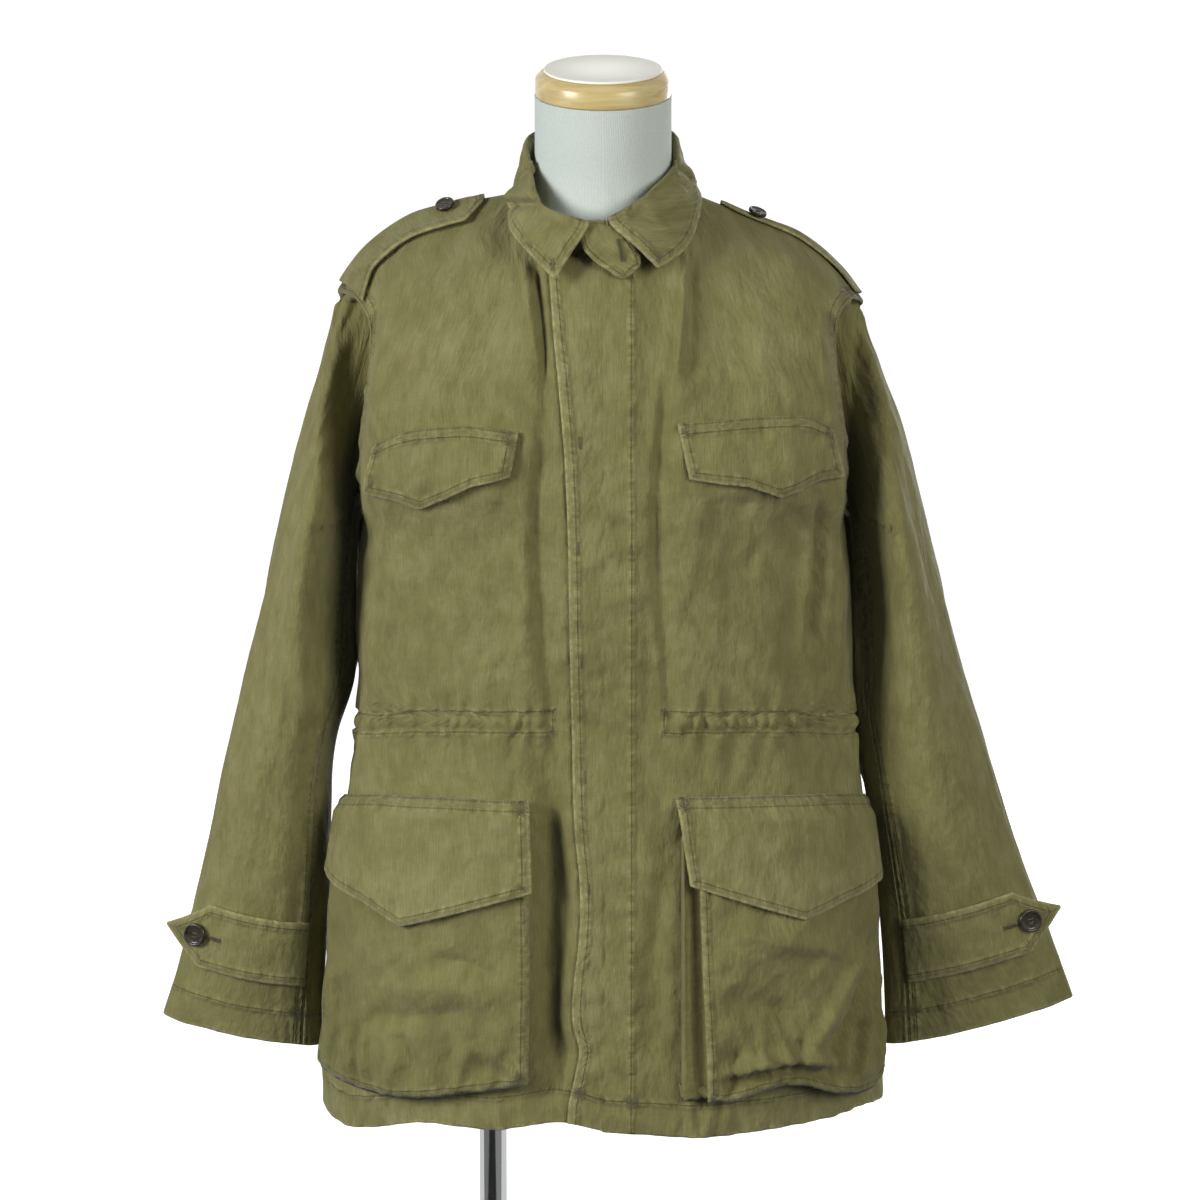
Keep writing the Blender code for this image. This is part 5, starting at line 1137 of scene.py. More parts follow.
def spot(grid, row, column):
    """Value of a grid at a fractional row and column."""
    i = int(min(max(row, 0), grid.shape[0] - 1.000001))
    j = int(min(max(column, 0), grid.shape[1] - 1.000001))
    a, b = row - i, column - j
    low = grid[i, j] * (1 - b) + grid[i, j + 1] * b
    high = grid[i + 1, j] * (1 - b) + grid[i + 1, j + 1] * b
    return low * (1 - a) + high * a


strap_cotton = cotton("strap cotton", OLIVE, 1.0, 17.3)
straps = {}
strap_shares = np.unique(np.concatenate([np.linspace(0.150, 0.235, 9),
                                         np.linspace(0.235, 0.970, 60)]))
for side in OUTWARD:
    yokes, ways = {}, {}
    for face in FACING:
        u = np.concatenate([[0.0], np.linspace(NECK_SHARE[face], 1, 37)])
        yokes[face] = quarter(side, face, u, ROWS[-12:], YOKE[face])[-26:]
        ways[face] = normals(yokes[face]) * OUTWARD[side] * -FACING[face]
    rows, facing = [], []
    for w in np.linspace(-1.0, 1.0, 29):
        face = "front" if w <= 0 else "back"
        grid = yokes[face]
        row, row_ways = [], []
        for share in strap_shares:
            column = 1 + 36 * share
            slipped = STRAP_BACK[side] * np.interp(share, STRAP["share"], (0.2, 1.0, 1.0, 1.0, 1.6))
            reach = np.interp(share, STRAP["share"], STRAP[face]) + slipped * FACING[face]
            line = np.array([spot(grid, i, column) for i in range(25, -1, -1)])
            at = 25 - np.interp(abs(w) * reach, lengths(line), np.arange(26.0))
            seam_way = sum(spot(ways[f], 25, column) for f in FACING)
            way = unit(spot(ways[face], at, column) * abs(w) + unit(seam_way) * (1 - abs(w)))
            row.append(spot(grid, at, column) + way * (LIE_ON_PANEL + STRAP_CLEAR))
            row_ways.append(way)
        rows.append(row)
        facing.append(row_ways)
    grid, facing = np.array(rows), np.array(facing)
    across, length = lengths(grid.transpose(1, 0, 2)).T, lengths(grid)
    from_edge = np.minimum(across, across[-1:] - across)
    from_point = length * 0.9
    edge = np.minimum(from_edge, from_point + 0.0005)
    out = 0.0005 * ripple(91, length * 40, across * 50) + 0.0003 * fade(edge - 0.003, 0.003)
    grid = grid + facing * (out + 0.0004)[:, :, None]
    straps[side] = (grid, facing)
    cloth_piece(f"shoulder_strap_{side}", grid, DOUBLE_CLOTH, strap_cotton,
                np.stack([length, across], axis=2), edge - FLAP_STITCH, edge,
                facing=facing)


# ==== cuff tabs =================================================================================
# Pointed tabs of doubled twill across the front of each cuff, sewn in at the sleeve's front seam.
# The point stands off the sleeve, and buttons through a worked buttonhole.
TAB_RISE, TAB_HALF = 0.083, 0.0285
TAB_SEWN, TAB_TIP = -0.760, -0.105
TAB_POINT, TAB_BLUNT, TAB_FLAT, TAB_FLARE, TAB_CLEAR = 0.26, 0.04, 0.60, 0.019, 0.0004

tabs = {}
for side in OUTWARD:
    surface, surface_ways = sleeves[side]
    shares = np.unique(np.concatenate([np.linspace(0, 1 - TAB_POINT, 56),
                                       np.linspace(1 - TAB_POINT, 1, 26)]))
    w = np.linspace(-1, 1, 29)
    rows = np.zeros((29, len(shares), 3))
    facing = np.zeros_like(rows)
    for k, share in enumerate(shares):
        turn = TAB_SEWN + (TAB_TIP - TAB_SEWN) * share
        half = TAB_HALF * min(1.0, (1.0 - share) / TAB_POINT + TAB_BLUNT)
        column = -turn * 72
        j, f = int(column), column % 1.0
        line = (surface[:, j] * (1 - f) + surface[:, j + 1] * f)[::-1]
        way_line = (surface_ways[:, j] * (1 - f) + surface_ways[:, j + 1] * f)[::-1]
        run = lengths(line)
        rise = TAB_RISE + w * half
        flare = TAB_FLARE * max(0.0, (share - TAB_FLAT) / (1.0 - TAB_FLAT)) ** 2
        way = unit(np.column_stack([np.interp(rise, run, way_line[:, q]) for q in range(3)]))
        rows[:, k] = np.column_stack([np.interp(rise, run, line[:, q]) for q in range(3)])
        rows[:, k] += way * (LIE_ON_PANEL + TAB_CLEAR + flare + 0.0004)
        facing[:, k] = way
    length, across = lengths(rows), lengths(rows.transpose(1, 0, 2)).T
    from_edge = np.minimum(across, across[-1:] - across)
    from_edge = np.where(shares[None, :] > 1 - TAB_POINT, from_edge * 0.80, from_edge)
    out = (0.0007 * ripple(95, length * 30, across * 40) * (1 - fade(length, 0.01))
           + 0.0003 * fade(from_edge - 0.003, 0.003))
    rows = rows + facing * out[:, :, None]
    tabs[side] = (rows, facing)
    cloth_piece(f"cuff_tab_{side}", rows, DOUBLE_CLOTH, strap_cotton,
                np.stack([length, across], axis=2), from_edge - FLAP_STITCH, from_edge,
                facing=facing)


# ==== collar and throat tab =====================================================================
# A one-piece collar of doubled twill that stands up from the neck seam and folds over, with its
# pointed leaves apart at the front, and a tab between them that closes the throat.
COLLAR = {
    "left": table("roll_x roll_y roll_z edge_x edge_y edge_z", (
        (0.004, -0.095, 1.061, 0.0460, -0.106, 1.021), (0.028, -0.084, 1.075, 0.064, -0.090, 1.031),
        (0.045, -0.062, 1.088, 0.078, -0.062, 1.050), (0.0585, -0.032, 1.102, 0.083, -0.032, 1.070),
        (0.0610, 0.003, 1.117, 0.0790, 0.008, 1.086), (0.0580, 0.036, 1.127, 0.0785, 0.046, 1.078),
        (0.040, 0.064, 1.131, 0.057, 0.089, 1.066), (0.000, 0.076, 1.133, 0.000, 0.107, 1.061))),
    "right": table("roll_x roll_y roll_z edge_x edge_y edge_z", (
        (0.0115, -0.0955, 1.0584, 0.040, -0.110, 1.011),
        (0.0316, -0.091, 1.064, 0.060, -0.095, 1.030),
        (0.049, -0.080, 1.071, 0.0775, -0.064, 1.051), (0.057, -0.061, 1.085, 0.080, -0.034, 1.070),
        (0.061, -0.030, 1.106, 0.0745, 0.006, 1.086), (0.0625, 0.010, 1.122, 0.076, 0.046, 1.078),
        (0.040, 0.064, 1.131, 0.057, 0.089, 1.066), (0.000, 0.076, 1.133, 0.000, 0.107, 1.061))),
}
COLLAR_CREASES = {"right": ((((0.050, 0.046), (0.068, 0.066), (0.088, 0.090)), 0.0050, -0.0055),
                            (((0.058, 0.044), (0.078, 0.062), (0.098, 0.088)), 0.0050, 0.0036),
                            (((0.096, 0.046), (0.108, 0.062), (0.112, 0.086)), 0.0060, -0.0048),
                            (((0.030, 0.050), (0.036, 0.070), (0.034, 0.088)), 0.0080, 0.0026)),
                  "left": ((((0.016, 0.048), (0.040, 0.066), (0.070, 0.076)), 0.0060, -0.0040),
                           (((0.030, 0.056), (0.055, 0.062), (0.085, 0.060)), 0.0080, 0.0030),
                           (((0.100, 0.046), (0.112, 0.066), (0.118, 0.088)), 0.0060, -0.0042))}
COLLAR_START, COLLAR_LIFT, ROLL_HALF, ROLL_DROP = 0.07, 0.0016, 0.0020, 0.0032
THROAT_TAB = {"lower": ((-0.0195, 1.0500), (-0.0183, 1.0425), (-0.0158, 1.0351), (-0.0091, 1.0275),
                        (0.0042, 1.0183), (0.0133, 1.0124), (0.0200, 1.0118)),
              "upper": ((-0.0120, 1.0590), (0.0000, 1.0590), (0.0120, 1.0550), (0.0220, 1.0450),
                        (0.0290, 1.0340), (0.0310, 1.0270), (0.0300, 1.0215))}

# The collar's and throat tab's cotton is a little paler: painted light.
collar_cotton_painted_light = cotton("collar cotton", OLIVE, 1.03, 23.9)
places = np.linspace(0, 1, 96)
neck = by_length(np.vstack([path(rows_of(NECKLINE["front"]), np.linspace(0, 1, 200)),
                            path(rows_of(NECKLINE["back"]), np.linspace(1, 0, 200))[1:]]),
                 COLLAR_START + (1 - COLLAR_START) * places)
at = np.concatenate([np.linspace(0, 0.9, 18), np.linspace(0.92, 1.08, 9),
                     np.linspace(1.11, 2.0, 24)])
leaf_share = np.clip((at - 1.0), 0, 1)[:, None]
halves = {}
for side in OUTWARD:
    roll, leaf = (path(np.column_stack([COLLAR[side][f"{row}_{k}"] for k in "xyz"]), places)
                  for row in ("roll", "edge"))
    run = unit(np.gradient(roll, axis=0))
    out = leaf - neck
    out -= run * (out * run).sum(axis=1, keepdims=True)
    out[:, 2] = 0.0
    out = unit(out)
    foot = neck + unit(roll - neck) * (COLLAR_LIFT - 0.0044 * fade(places, 0.20))[:, None]
    drop = np.array((0.0, 0.0, -ROLL_DROP))
    inner, outer = roll - out * ROLL_HALF + drop, roll + out * ROLL_HALF + drop
    stations = np.array([foot, (foot + inner) / 2, inner, roll, outer, (outer + leaf) / 2, leaf])
    half = np.array([[smooth(np.array((0.0, 0.5, 0.92, 1.0, 1.08, 1.5, 2.0)), stations[:, k, q], at)
                      for q in range(3)] for k in range(len(places))]).transpose(2, 0, 1)
    rise = 0.0016 * np.sin(math.pi * leaf_share) * (1 - 0.6 * fade(places, 0.2))[None, :]
    rise = rise + 0.0020 * fade(leaf_share - 0.05, 0.16) * (1 - fade(places, 0.12))[None, :]
    for row in COLLAR_CREASES[side]:
        rise = rise + 1.4 * crease(places[None, :] * 0.25, at[:, None] * 0.045, *row, ends=0.1)
    halves[side] = (half + out[None] * rise[:, :, None]) * (OUTWARD[side], 1.0, 1.0)
grid = np.concatenate([halves["right"][:, :-1], halves["left"][:, ::-1]], axis=1)
length, across = lengths(grid), lengths(grid.transpose(1, 0, 2)).T
from_leaf = across[-1:] - across
from_end = np.minimum(length, length[:, -1:] - length)
edge = np.minimum(from_leaf, np.where(leaf_share > 0, from_end * 0.92, 1.0))
wave = (0.0018 * ripple(97, length * 24, across * 22)
        + 0.0009 * ripple(98, length * 60, across * 45)
        - 0.0018 * np.abs(ripple(99, length * 30, across * 40)))
ways = normals(grid)
grid = grid + ways * (wave * (1 - fade(across, 0.01)) * np.where(at > 1.1, 1.0, 0.4)[:, None]
                      )[:, :, None]
cloth_piece("collar", grid, DOUBLE_CLOTH, collar_cotton_painted_light, np.stack([length, -across], axis=2),
            stitch_field(edge - 0.0068, across - 0.0025), edge)

c = np.linspace(0, 1, 30)[None, :, None]
edges = [path(np.array([(x, 0.0, z) for x, z in THROAT_TAB[row]]), np.linspace(0, 1, 44))[:, None]
         for row in ("lower", "upper")]
grid = edges[0] * (1 - c) + edges[1] * c
x, z = grid[:, :, 0], grid[:, :, 2]
grid[:, :, 1] = (-0.1000 + (z - 1.013) * 0.127 + 0.003 * np.maximum(x - 0.010, 0) / 0.023
                 - 0.0016 * np.sin(math.pi * c[:, :, 0]) + 0.0013 * ripple(93, x * 70, z * 90)
                 + 0.0060 * fade(np.minimum(z - 1.0590, 0), 0.012))
length, across = lengths(grid), lengths(grid.transpose(1, 0, 2)).T
edge = np.minimum(np.minimum(length, length[:, -1:] - length), across[-1:] - across)
throat_tab_grid = grid
cloth_piece("throat_tab", grid, DOUBLE_CLOTH, collar_cotton_painted_light, np.stack([length, -across], axis=2),
            edge - 0.0040, edge,
            facing=np.array((0.0, -1.0, 0.0)))


# ==== buttons, buttonholes and bar tacks ========================================================
# Four-hole buttons of dark brown horn, sewn on with olive thread, two on the shoulder straps and
# two on the cuff tabs. The tabs have worked buttonholes, and short bar tacks hold the hidden fly's
# layers together.
BUTTON_RADIUS, BUTTON_HEIGHT, BUTTON_RIM, BUTTON_BEVEL = 0.0102, 0.0036, 0.0022, 0.0012
BUTTON_GAP, BUTTON_FOOT, BUTTON_SHANK = 0.0004, 0.0013, 0.0030
HOLE_OFF, HOLE_RADIUS, THREAD_RADIUS = 0.0017, 0.00105, 0.00038
STRAP_BUTTON_SIZE = 0.82    # of a cuff button's
STRAP_BUTTON_SHARE, TAB_BUTTON_SHARE = 1 / 3, 0.80      # places along the strap and the tab
BUTTONHOLE_SHARES = (0.715, 0.635)
THROAT_HOLE = ((0.0128, 1.0430), (0.0163, 1.0262))      # x and height of its ends
TACK_HALF = 0.0050
TACKS = ((-0.0215, 0.878), (-0.0208, 0.790), (-0.0183, 0.695), (-0.0151, 0.596),
         (-0.0126, 0.502), (-0.0211, 0.386))


def on_piece(tree, kind, inputs):
    """A pattern over a piece's own coordinates, as one value."""
    place = put(tree, "ShaderNodeTexCoord").outputs["Object"]
    return put(tree, kind, {"Vector": place, **inputs}).outputs["Fac"]


def between(tree, value, low, high):
    """A colour between two, each given with the value that it starts from."""
    ramp = put(tree, "ShaderNodeValToRGB", {"Fac": value})
    for element, (start, colour) in zip(ramp.color_ramp.elements, (low, high)):
        element.position, element.color = start, (*colour, 1)
    return ramp.outputs["Color"]


def bumps(tree, height, distance, inputs=None):
    """Normals of a bumpy surface."""
    return put(tree, "ShaderNodeBump",
               {"Height": height, "Distance": distance, **(inputs or {})}).outputs[0]


horn, shader = plain_material("brown horn", (0.026, 0.017, 0.012), 0.18)
tree = horn.node_tree
streaks = on_piece(tree, "ShaderNodeTexNoise", {"Scale": 260.0, "Detail": 3.0, "Distortion": 1.6})
feed(tree, shader, {
    "Base Color": between(tree, streaks, (0.35, (0.010, 0.008, 0.005)),
                          (0.75, (0.045, 0.032, 0.020))),
    "Specular IOR Level": 0.35})
# Black for the buttons' holes and the buttonholes' slits: painted shade where the holes look dark.
painted_hole_shade, _ = plain_material("buttonhole shade", (0.010, 0.009, 0.006), 0.9)
thread_olive, shader = plain_material("olive thread", (0.105, 0.097, 0.042), 0.7)
tree = thread_olive.node_tree
twist = on_piece(tree, "ShaderNodeTexWave", {"Scale": 900.0})
feed(tree, shader, {"Normal": bumps(tree, twist, 0.0002)})


def finished(name, mesh, slot, *finishes, stands_for=None):
    """An object of the jacket or its stand from a bmesh, with its finishes."""
    data = bpy.data.meshes.new(name)
    mesh.to_mesh(data)
    mesh.free()
    data.shade_smooth()
    data.set_sharp_from_angle(angle=math.radians(35.0))
    for finish in finishes:
        data.materials.append(finish)
    piece = bpy.data.objects.new(name, data)
    scene.collection.objects.link(piece)
    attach(piece, "root")
    if stands_for:
        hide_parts(stands_for)


def turned(mesh, profile, segments):
    """Turn an outline, given as radius and height, once round the upright axis."""
    verts = [mesh.verts.new((radius, 0.0, height)) for radius, height in profile]
    edges = [mesh.edges.new(pair) for pair in zip(verts, verts[1:])]
    bmesh.ops.spin(mesh, geom=verts + edges, cent=(0, 0, 0), axis=(0, 0, 1),
                   angle=2 * math.pi, steps=segments, use_merge=True)
    bmesh.ops.remove_doubles(mesh, verts=mesh.verts[:], dist=1e-6)
    bmesh.ops.recalc_face_normals(mesh, faces=mesh.faces[:])


def faces_of(verts):
    """The faces that meet at some points."""
    return {face for vert in verts for face in vert.link_faces}


def rod(mesh, start, end, radius, sides=6, material_index=0):
    """A short round bar between two points, with domed ends."""
    start, end = Vector(start), Vector(end)
    before = set(mesh.verts)
    bmesh.ops.create_uvsphere(mesh, u_segments=sides, v_segments=8, radius=radius)
    verts = [vert for vert in mesh.verts if vert not in before]
    for vert in verts:
        if abs(vert.co.z) > 1e-9:
            vert.co.z += math.copysign((end - start).length / 2, vert.co.z)
    turn = Vector((0, 0, 1)).rotation_difference(end - start).to_matrix()
    bmesh.ops.rotate(mesh, matrix=turn, verts=verts)
    bmesh.ops.translate(mesh, vec=(start + end) / 2, verts=verts)
    for face in faces_of(verts):
        face.material_index = material_index


def button(node, place, way, along, size=1.0):
    """A button on its thread shank, its holes square to the direction `along`."""
    mesh = bmesh.new()
    radius, rim = BUTTON_RADIUS, BUTTON_RADIUS - BUTTON_RIM
    foot, top = BUTTON_FOOT, BUTTON_FOOT + BUTTON_HEIGHT
    dish = top - BUTTON_BEVEL
    turned(mesh, (
        (0.0, foot), (radius - 0.0018, foot), (radius - 0.0006, foot + 0.0005),
        (radius, foot + 0.0014), (radius - 0.0001, top - 0.0008), (radius - 0.0006, top - 0.0002),
        (radius - 0.0012, top), (rim + 0.0002, top - 0.0001), (rim - 0.0004, top - 0.0006),
        (rim - 0.0011, dish + 0.0001), (rim - 0.0020, dish), (0.0, dish)), 48)
    # Dark discs on the dish stand for the four holes: painted shade, as they are not cut through.
    for i, j in ((-1, -1), (-1, 1), (1, -1), (1, 1)):
        hole = bmesh.ops.create_circle(mesh, cap_ends=True, segments=16,
                                       radius=HOLE_RADIUS)["verts"]
        bmesh.ops.translate(mesh, vec=(i * HOLE_OFF, j * HOLE_OFF, dish + 0.00006), verts=hole)
        for face in faces_of(hole):
            face.material_index = 1
            if face.normal.z < 0:
                face.normal_flip()
    for j in (-1, 1):
        for shift in (-0.00035, 0.00035):
            rod(mesh, (-HOLE_OFF, j * HOLE_OFF + shift, dish + 0.0001),
                (HOLE_OFF, j * HOLE_OFF - shift, dish + 0.0001), THREAD_RADIUS, 8, 2)
    shank = bmesh.ops.create_cone(mesh, cap_ends=True, segments=20, radius1=BUTTON_SHANK,
                                  radius2=BUTTON_SHANK * 0.8, depth=BUTTON_FOOT)["verts"]
    bmesh.ops.translate(mesh, vec=(0, 0, BUTTON_FOOT / 2), verts=shank)
    for face in faces_of(shank):
        face.material_index = 2
    bmesh.ops.scale(mesh, vec=(size, size, 1.0), verts=mesh.verts)
    way, along = Vector(way).normalized(), Vector(along)
    along = (along - way * along.dot(way)).normalized()
    axes = Matrix((along, way.cross(along), way)).transposed().to_4x4()
    lift = Matrix.Translation(Vector(place) + way * (DOUBLE_CLOTH / 2 + BUTTON_GAP))
    bmesh.ops.transform(mesh, matrix=lift @ axes, verts=mesh.verts)
    finished(f"horn_{node}", mesh, "brown_horn", horn, painted_hole_shade, thread_olive, stands_for=node)


def buttonhole(name, start, end, way, width=0.0012):
    """A worked buttonhole: a slit with a raised edge of close stitches, thicker at its two ends."""
    start, end, way = Vector(start), Vector(end), Vector(way).normalized()
    line = (end - start).normalized()
    across = way.cross(line).normalized()
    raised = way * 0.0002
    mesh = bmesh.new()
    steps = max(6, int((end - start).length / 0.0009))
    for i in range(steps + 1):
        stitch = start.lerp(end, i / steps)
        for sign in (-1, 1):
            rod(mesh, stitch + across * sign * width * 0.30 + raised,
                stitch + across * sign * width * 1.25, 0.00042)
    for tip in (start - line * 0.0006, end + line * 0.0006):
        rod(mesh, tip - across * width * 1.2 + raised, tip + across * width * 1.2 + raised, 0.00060)
    # The slit is a dark bar: painted shade.
    rod(mesh, start + way * 0.00005, end + way * 0.00005, 0.00045, 6, 1)
    finished(name, mesh, "olive_cotton", thread_olive, painted_hole_shade)


def nearest(places, place):
    """Number of the place that is nearest to one."""
    return int(np.argmin(np.abs(places - place)))


for side in OUTWARD:
    grid, _ = straps[side]
    k = nearest(strap_shares, STRAP_BUTTON_SHARE)
    ways = normals(grid)[11, k]
    if ways[2] < 0:
        ways = -ways
    button(f"strap_button_{side}", grid[11, k], ways, grid[11, k + 3] - grid[11, k],
           STRAP_BUTTON_SIZE)
    grid, outward = tabs[side]
    k = nearest(shares, TAB_BUTTON_SHARE)
    ways = normals(grid)[14, k]
    if ways @ outward[14, k] < 0:
        ways = -ways
    button(f"cuff_button_{side}", grid[14, k], ways, grid[14, k + 3] - grid[14, k - 3])
    slit = [nearest(shares, share) for share in BUTTONHOLE_SHARES]
    ends = [grid[14, k] + ways * (DOUBLE_CLOTH / 2 + 0.0002) for k in slit]
    buttonhole(f"cuff_buttonhole_{side}", *ends, outward[14, slit[-1]])

ends = []
for x, z in THROAT_HOLE:
    off = (throat_tab_grid[:, :, 0] - x) ** 2 + (throat_tab_grid[:, :, 2] - z) ** 2
    ends.append(throat_tab_grid.reshape(-1, 3)[off.argmin()]
                - (0.0, DOUBLE_CLOTH / 2 + 0.0006, 0.0))
buttonhole("throat_buttonhole", *ends, (0.0, -1.0, 0.12))

mesh = bmesh.new()
for along, height in TACKS:
    ends = on_front("left", np.array([[along, along + 0.0006]]),
                    np.array([[height + TACK_HALF, height - TACK_HALF]]), CLOTH / 2 + 0.0002)[0]
    for shift in (-0.0005, 0.0, 0.0005):
        rod(mesh, ends[0] + (shift, 0, 0), ends[1] + (shift, 0, 0), 0.00040)
finished("fly_tacks", mesh, "olive_cotton", thread_olive)


# ==== dress form ================================================================================
# A limbless form with a pale knitted cover over a hard shell, smooth and whole. Its straight neck
# leans forward a little, and its shoulders carry the jacket.
FORM_CLEAR, FORM_REST, FORM_REST_REACH, FORM_DEEPER = 0.011, 0.0005, 0.060, 0.018
FORM_END, ARM_END, FORM_INSET = 0.012, 0.002, 0.022
FORM_BOTTOM = 0.372
FORM_WIDEST, WIDEST_FROM = 0.188, 0.74      # at the armholes, to each side of the middle
BUST_HEIGHT, WAIST_HEIGHT = 0.90, 0.62      # below each, the form lies deeper in the jacket
NECK_RADIUS, NECK_TILT = 0.0578, math.radians(12.0)
NECK_TOP = Vector((0.0, -0.024, 1.161))
up = Vector((0.0, -math.sin(NECK_TILT), math.cos(NECK_TILT)))
ahead = Vector((0.0, math.cos(NECK_TILT), math.sin(NECK_TILT)))

mesh = bmesh.new()
for side in OUTWARD:
    for face in FACING:
        share = NECK_SHARE[face]
        u = np.concatenate([np.linspace(0, share, 17), np.linspace(share, 1, 21)[1:]])
        grid = quarter(side, face, u, np.linspace(FORM_BOTTOM, UNDERARM, 16), np.linspace(0, 1, 19))
        verts = [[mesh.verts.new(point) for point in row] for row in grid]
        for low, high in zip(verts, verts[1:]):
            for j in range(36):
                corners = (low[j], low[j + 1], high[j + 1], high[j])
                mesh.faces.new(corners if OUTWARD[side] * FACING[face] < 0 else corners[::-1])
bmesh.ops.remove_doubles(mesh, verts=mesh.verts[:], dist=1e-5)
mesh.normal_update()
seams = np.vstack([path(rows_of(SHOULDER[side]), np.linspace(0.2, 0.85, 30), OUTWARD[side])
                   for side in OUTWARD])
moved = {}
for vert in mesh.verts:
    off = np.linalg.norm(seams - np.array(vert.co), axis=1).min()
    over_bust, over_waist = max(vert.co.z - BUST_HEIGHT, 0.0), max(vert.co.z - WAIST_HEIGHT, 0.0)
    in_front = 1.0 - float(fade(max(-vert.co.y, 0.0), 0.10))
    clear = CLOTH / 2 + FORM_REST + FORM_CLEAR * (1.0 - float(fade(off, FORM_REST_REACH)))
    clear += FORM_DEEPER * float(fade(min(over_bust, 0.12), 0.12))
    clear += FORM_DEEPER * float(fade(over_waist, 0.10)) * in_front
    moved[vert] = vert.co - vert.normal * clear
    if vert.co.z < FORM_BOTTOM + 1e-4:
        moved[vert].z = FORM_BOTTOM
    if vert.co.z > WIDEST_FROM:
        moved[vert].x = min(max(moved[vert].x, -FORM_WIDEST), FORM_WIDEST)
for vert, to in moved.items():
    vert.co = to
left = [edge for edge in mesh.edges if len(edge.link_faces) == 1]
while left:
    loop = [left.pop()]
    ends = set(loop[0].verts)
    grown = True
    while grown:
        grown = [edge for edge in left if ends & set(edge.verts)]
        for edge in grown:
            left.remove(edge)
            loop.append(edge)
            ends |= set(edge.verts)
    if max(abs(vert.co.x) for vert in ends) < 2 * NECK_RADIUS:
        for below in (0.070, 0.050, 0.035, 0.015, 0.001, 0.0):
            grown = bmesh.ops.extrude_edge_only(mesh, edges=loop)["geom"]
            loop = [item for item in grown if isinstance(item, bmesh.types.BMEdge)]
            centre = NECK_TOP - up * below
            for vert in {vert for edge in loop for vert in edge.verts}:
                angle = math.atan2(vert.co.y - centre.y, vert.co.x)
                vert.co = (centre + Vector((1, 0, 0)) * NECK_RADIUS * math.cos(angle)
                           + ahead * NECK_RADIUS * math.sin(angle))
        bmesh.ops.edgeloop_fill(mesh, edges=loop)
    else:
        filled = bmesh.ops.edgeloop_fill(mesh, edges=loop)["faces"]
        bmesh.ops.recalc_face_normals(mesh, faces=mesh.faces[:])
        end = FORM_END if max(vert.co.z for vert in ends) < UNDERARM / 2 else ARM_END
        for share in (0.35, 0.35, 0.30):
            bmesh.ops.inset_individual(mesh, faces=filled, thickness=FORM_INSET * share,
                                       depth=end * share, use_even_offset=True)
bmesh.ops.recalc_face_normals(mesh, faces=mesh.faces[:])
around = mesh.loops.layers.uv.new("knit")
for face in mesh.faces:
    turns = [math.atan2(loop.vert.co.x, loop.vert.co.y - NECK_TOP.y) for loop in face.loops]
    for loop, turn in zip(face.loops, turns):
        if turn - turns[0] > math.pi:
            turn -= 2 * math.pi
        elif turn - turns[0] < -math.pi:
            turn += 2 * math.pi
        loop[around].uv = (turn * NECK_RADIUS, loop.vert.co.z)

knit, shader = plain_material("knit cover", (0.40, 0.43, 0.41), 0.9)
tree = knit.node_tree
uv = put(tree, "ShaderNodeUVMap", uv_map="knit").outputs[0]
wales, fuzz, soft = (put(tree, kind, {"Vector": uv, **inputs}).outputs["Fac"] for kind, inputs in (
    ("ShaderNodeTexWave", {"Scale": 190.0, "Distortion": 1.4, "Detail": 1.0, "Detail Scale": 3.0}),
    ("ShaderNodeTexNoise", {"Scale": 420.0, "Detail": 3.0}),
    ("ShaderNodeTexNoise", {"Scale": 38.0, "Detail": 3.0})))
knitted = put(tree, "ShaderNodeMix", {"Factor": 0.55, "A": wales, "B": fuzz},
              data_type="FLOAT").outputs[0]
stitches = bumps(tree, knitted, 0.0004, {"Strength": 0.7})
feed(tree, shader, {
    "Base Color": between(tree, knitted, (0.25, (0.50, 0.55, 0.52)), (0.75, (0.61, 0.67, 0.635))),
    "Normal": bumps(tree, soft, 0.0010, {"Strength": 0.6, "Normal": stitches}),
    "Sheen Weight": 0.2})
finished("knitted_form", mesh, "knit_cover", knit, stands_for="form_body")


# ==== neck cap and stand ========================================================================
# A turned cap of pale varnished wood with a cream disc on it closes the neck. The form stands on a
# chromed pole, which is screwed to a flange and to a round black base.
CAP_RADIUS, CAP_HEIGHT, CAP_CHAMFER = 0.0572, 0.0200, 0.0055
DISC_RADIUS, DISC_HEIGHT, TOUCH_GAP = 0.0500, 0.0022, 0.0003
EASE, DISC_EASE = 0.0004, 0.0006            # rounding of the turned corners
POLE_X, POLE_RADIUS, POLE_FOOT, POLE_DROP = -0.096, 0.0118, 0.0123, 0.0143


def on_neck(mesh, height):
    """Put a turned piece on the tilted neck, at a height above its top."""
    tilt = Matrix.Translation(NECK_TOP) @ Matrix.Rotation(NECK_TILT, 4, "X")
    bmesh.ops.transform(mesh, matrix=tilt @ Matrix.Translation((0, 0, height)), verts=mesh.verts)


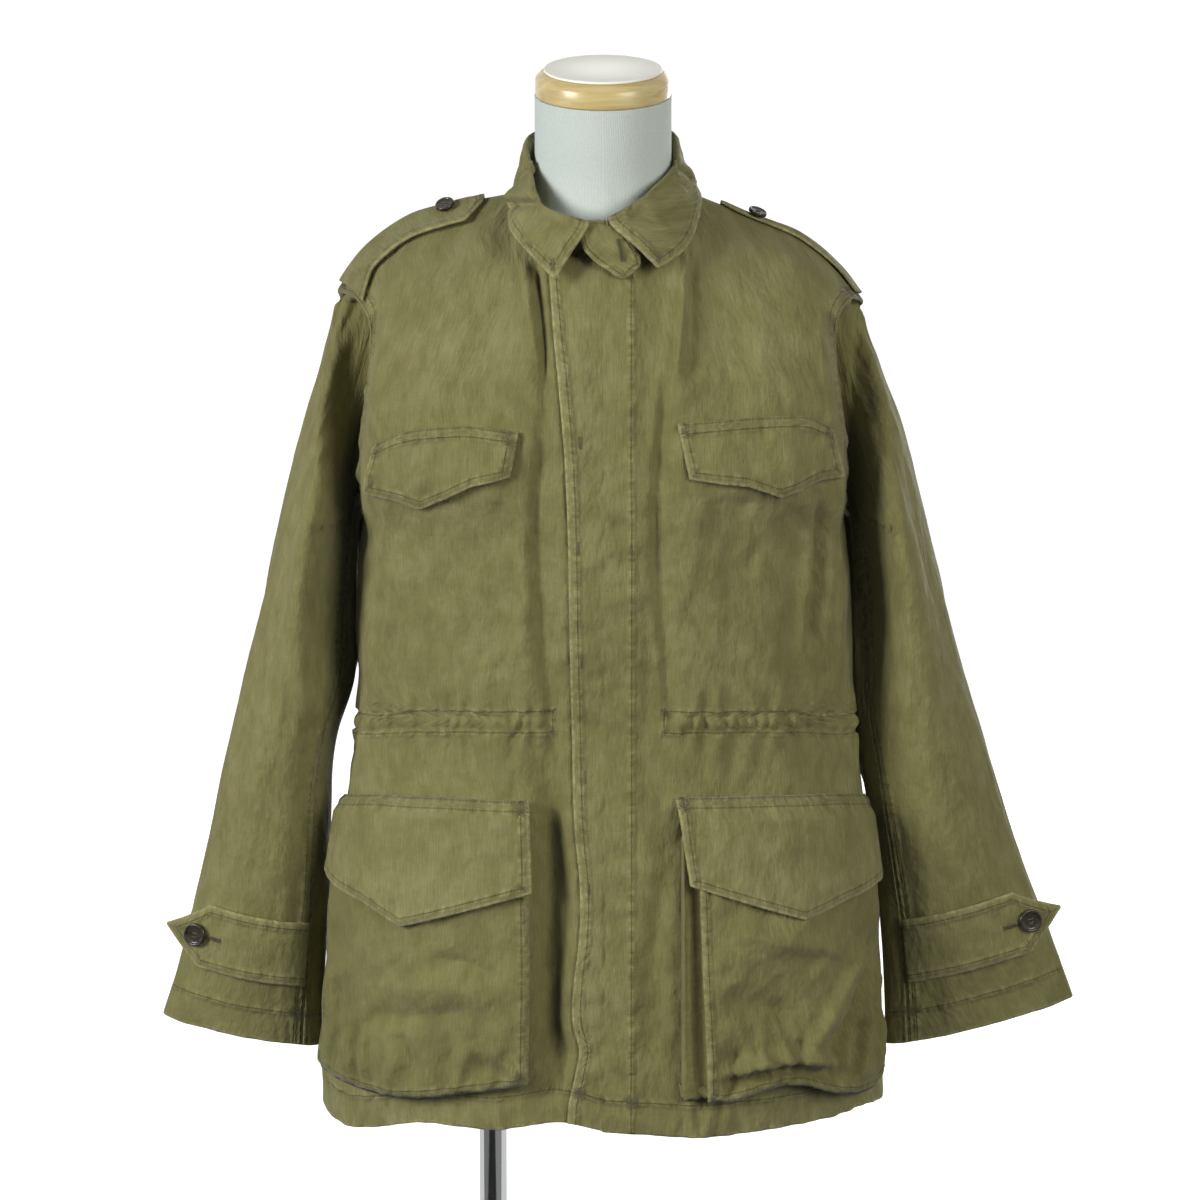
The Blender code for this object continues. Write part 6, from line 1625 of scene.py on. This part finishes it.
wood, shader = plain_material("varnished wood", (0.41, 0.33, 0.13), 0.35)
tree = wood.node_tree
stretch = put(tree, "ShaderNodeMapping", {
    "Vector": put(tree, "ShaderNodeTexCoord").outputs["Object"],
    "Scale": (6.0, 55.0, 160.0), "Rotation": (0.2, 0.0, 0.35)}).outputs[0]
grain = put(tree, "ShaderNodeTexNoise", {"Vector": stretch, "Scale": 1.0, "Detail": 5.0,
                                         "Distortion": 0.7}).outputs["Fac"]
feed(tree, shader, {
    "Base Color": between(tree, grain, (0.32, (0.42, 0.30, 0.10)), (0.66, (0.60, 0.48, 0.205))),
    "Coat Weight": 0.35, "Coat Roughness": 0.18})
mesh = bmesh.new()
edge_at = CAP_HEIGHT - CAP_CHAMFER
turned(mesh, ((0, 0), (CAP_RADIUS - 2 * EASE, 0), (CAP_RADIUS, 2 * EASE),
              (CAP_RADIUS, edge_at - EASE), (CAP_RADIUS - EASE, edge_at + EASE),
              (CAP_RADIUS - CAP_CHAMFER + EASE, CAP_HEIGHT - EASE),
              (CAP_RADIUS - CAP_CHAMFER - EASE, CAP_HEIGHT), (0, CAP_HEIGHT)), 128)
on_neck(mesh, TOUCH_GAP)
finished("wooden_neck_cap", mesh, "turned_wood", wood, stands_for="neck_cap")

cream, shader = plain_material("cream disc", (0.90, 0.90, 0.82), 0.5)
tree = cream.node_tree
speckle = on_piece(tree, "ShaderNodeTexNoise", {"Scale": 300.0})
feed(tree, shader, {"Normal": bumps(tree, speckle, 0.0001)})
mesh = bmesh.new()
turned(mesh, ((0, 0), (DISC_RADIUS - DISC_EASE, 0), (DISC_RADIUS, DISC_EASE),
              (DISC_RADIUS, DISC_HEIGHT - DISC_EASE), (DISC_RADIUS - DISC_EASE, DISC_HEIGHT),
              (0, DISC_HEIGHT)), 128)
on_neck(mesh, 2 * TOUCH_GAP + CAP_HEIGHT)
finished("cream_cap_disc", mesh, "cream_disc", cream, stands_for="neck_cap_disc")

chrome, shader = plain_material("chrome", (0.86, 0.87, 0.88), 0.07, 1.0)
tree = chrome.node_tree
smudges = on_piece(tree, "ShaderNodeTexNoise", {"Scale": 30.0, "Detail": 4.0})
feed(tree, shader, {"Roughness": put(tree, "ShaderNodeMapRange", {
    "Value": smudges, "To Min": 0.04, "To Max": 0.14}).outputs[0]})
mesh = bmesh.new()
pole_top = FORM_BOTTOM - FORM_END - TOUCH_GAP - POLE_DROP
turned(mesh, ((0, POLE_FOOT), (POLE_RADIUS, POLE_FOOT), (POLE_RADIUS, pole_top), (0, pole_top)), 64)
bmesh.ops.translate(mesh, vec=(POLE_X, 0, 0), verts=mesh.verts)
finished("chrome_pole", mesh, "chrome", chrome, stands_for="pole")
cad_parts["pole_flange"].material_slots[0].material = chrome

black, shader = plain_material("black enamel", (0.018, 0.018, 0.020), 0.32)
tree = black.node_tree
orange_peel = on_piece(tree, "ShaderNodeTexNoise", {"Scale": 220.0})
feed(tree, shader, {"Normal": bumps(tree, orange_peel, 0.0002), "Coat Weight": 0.5})
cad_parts["base_plate"].material_slots[0].material = black
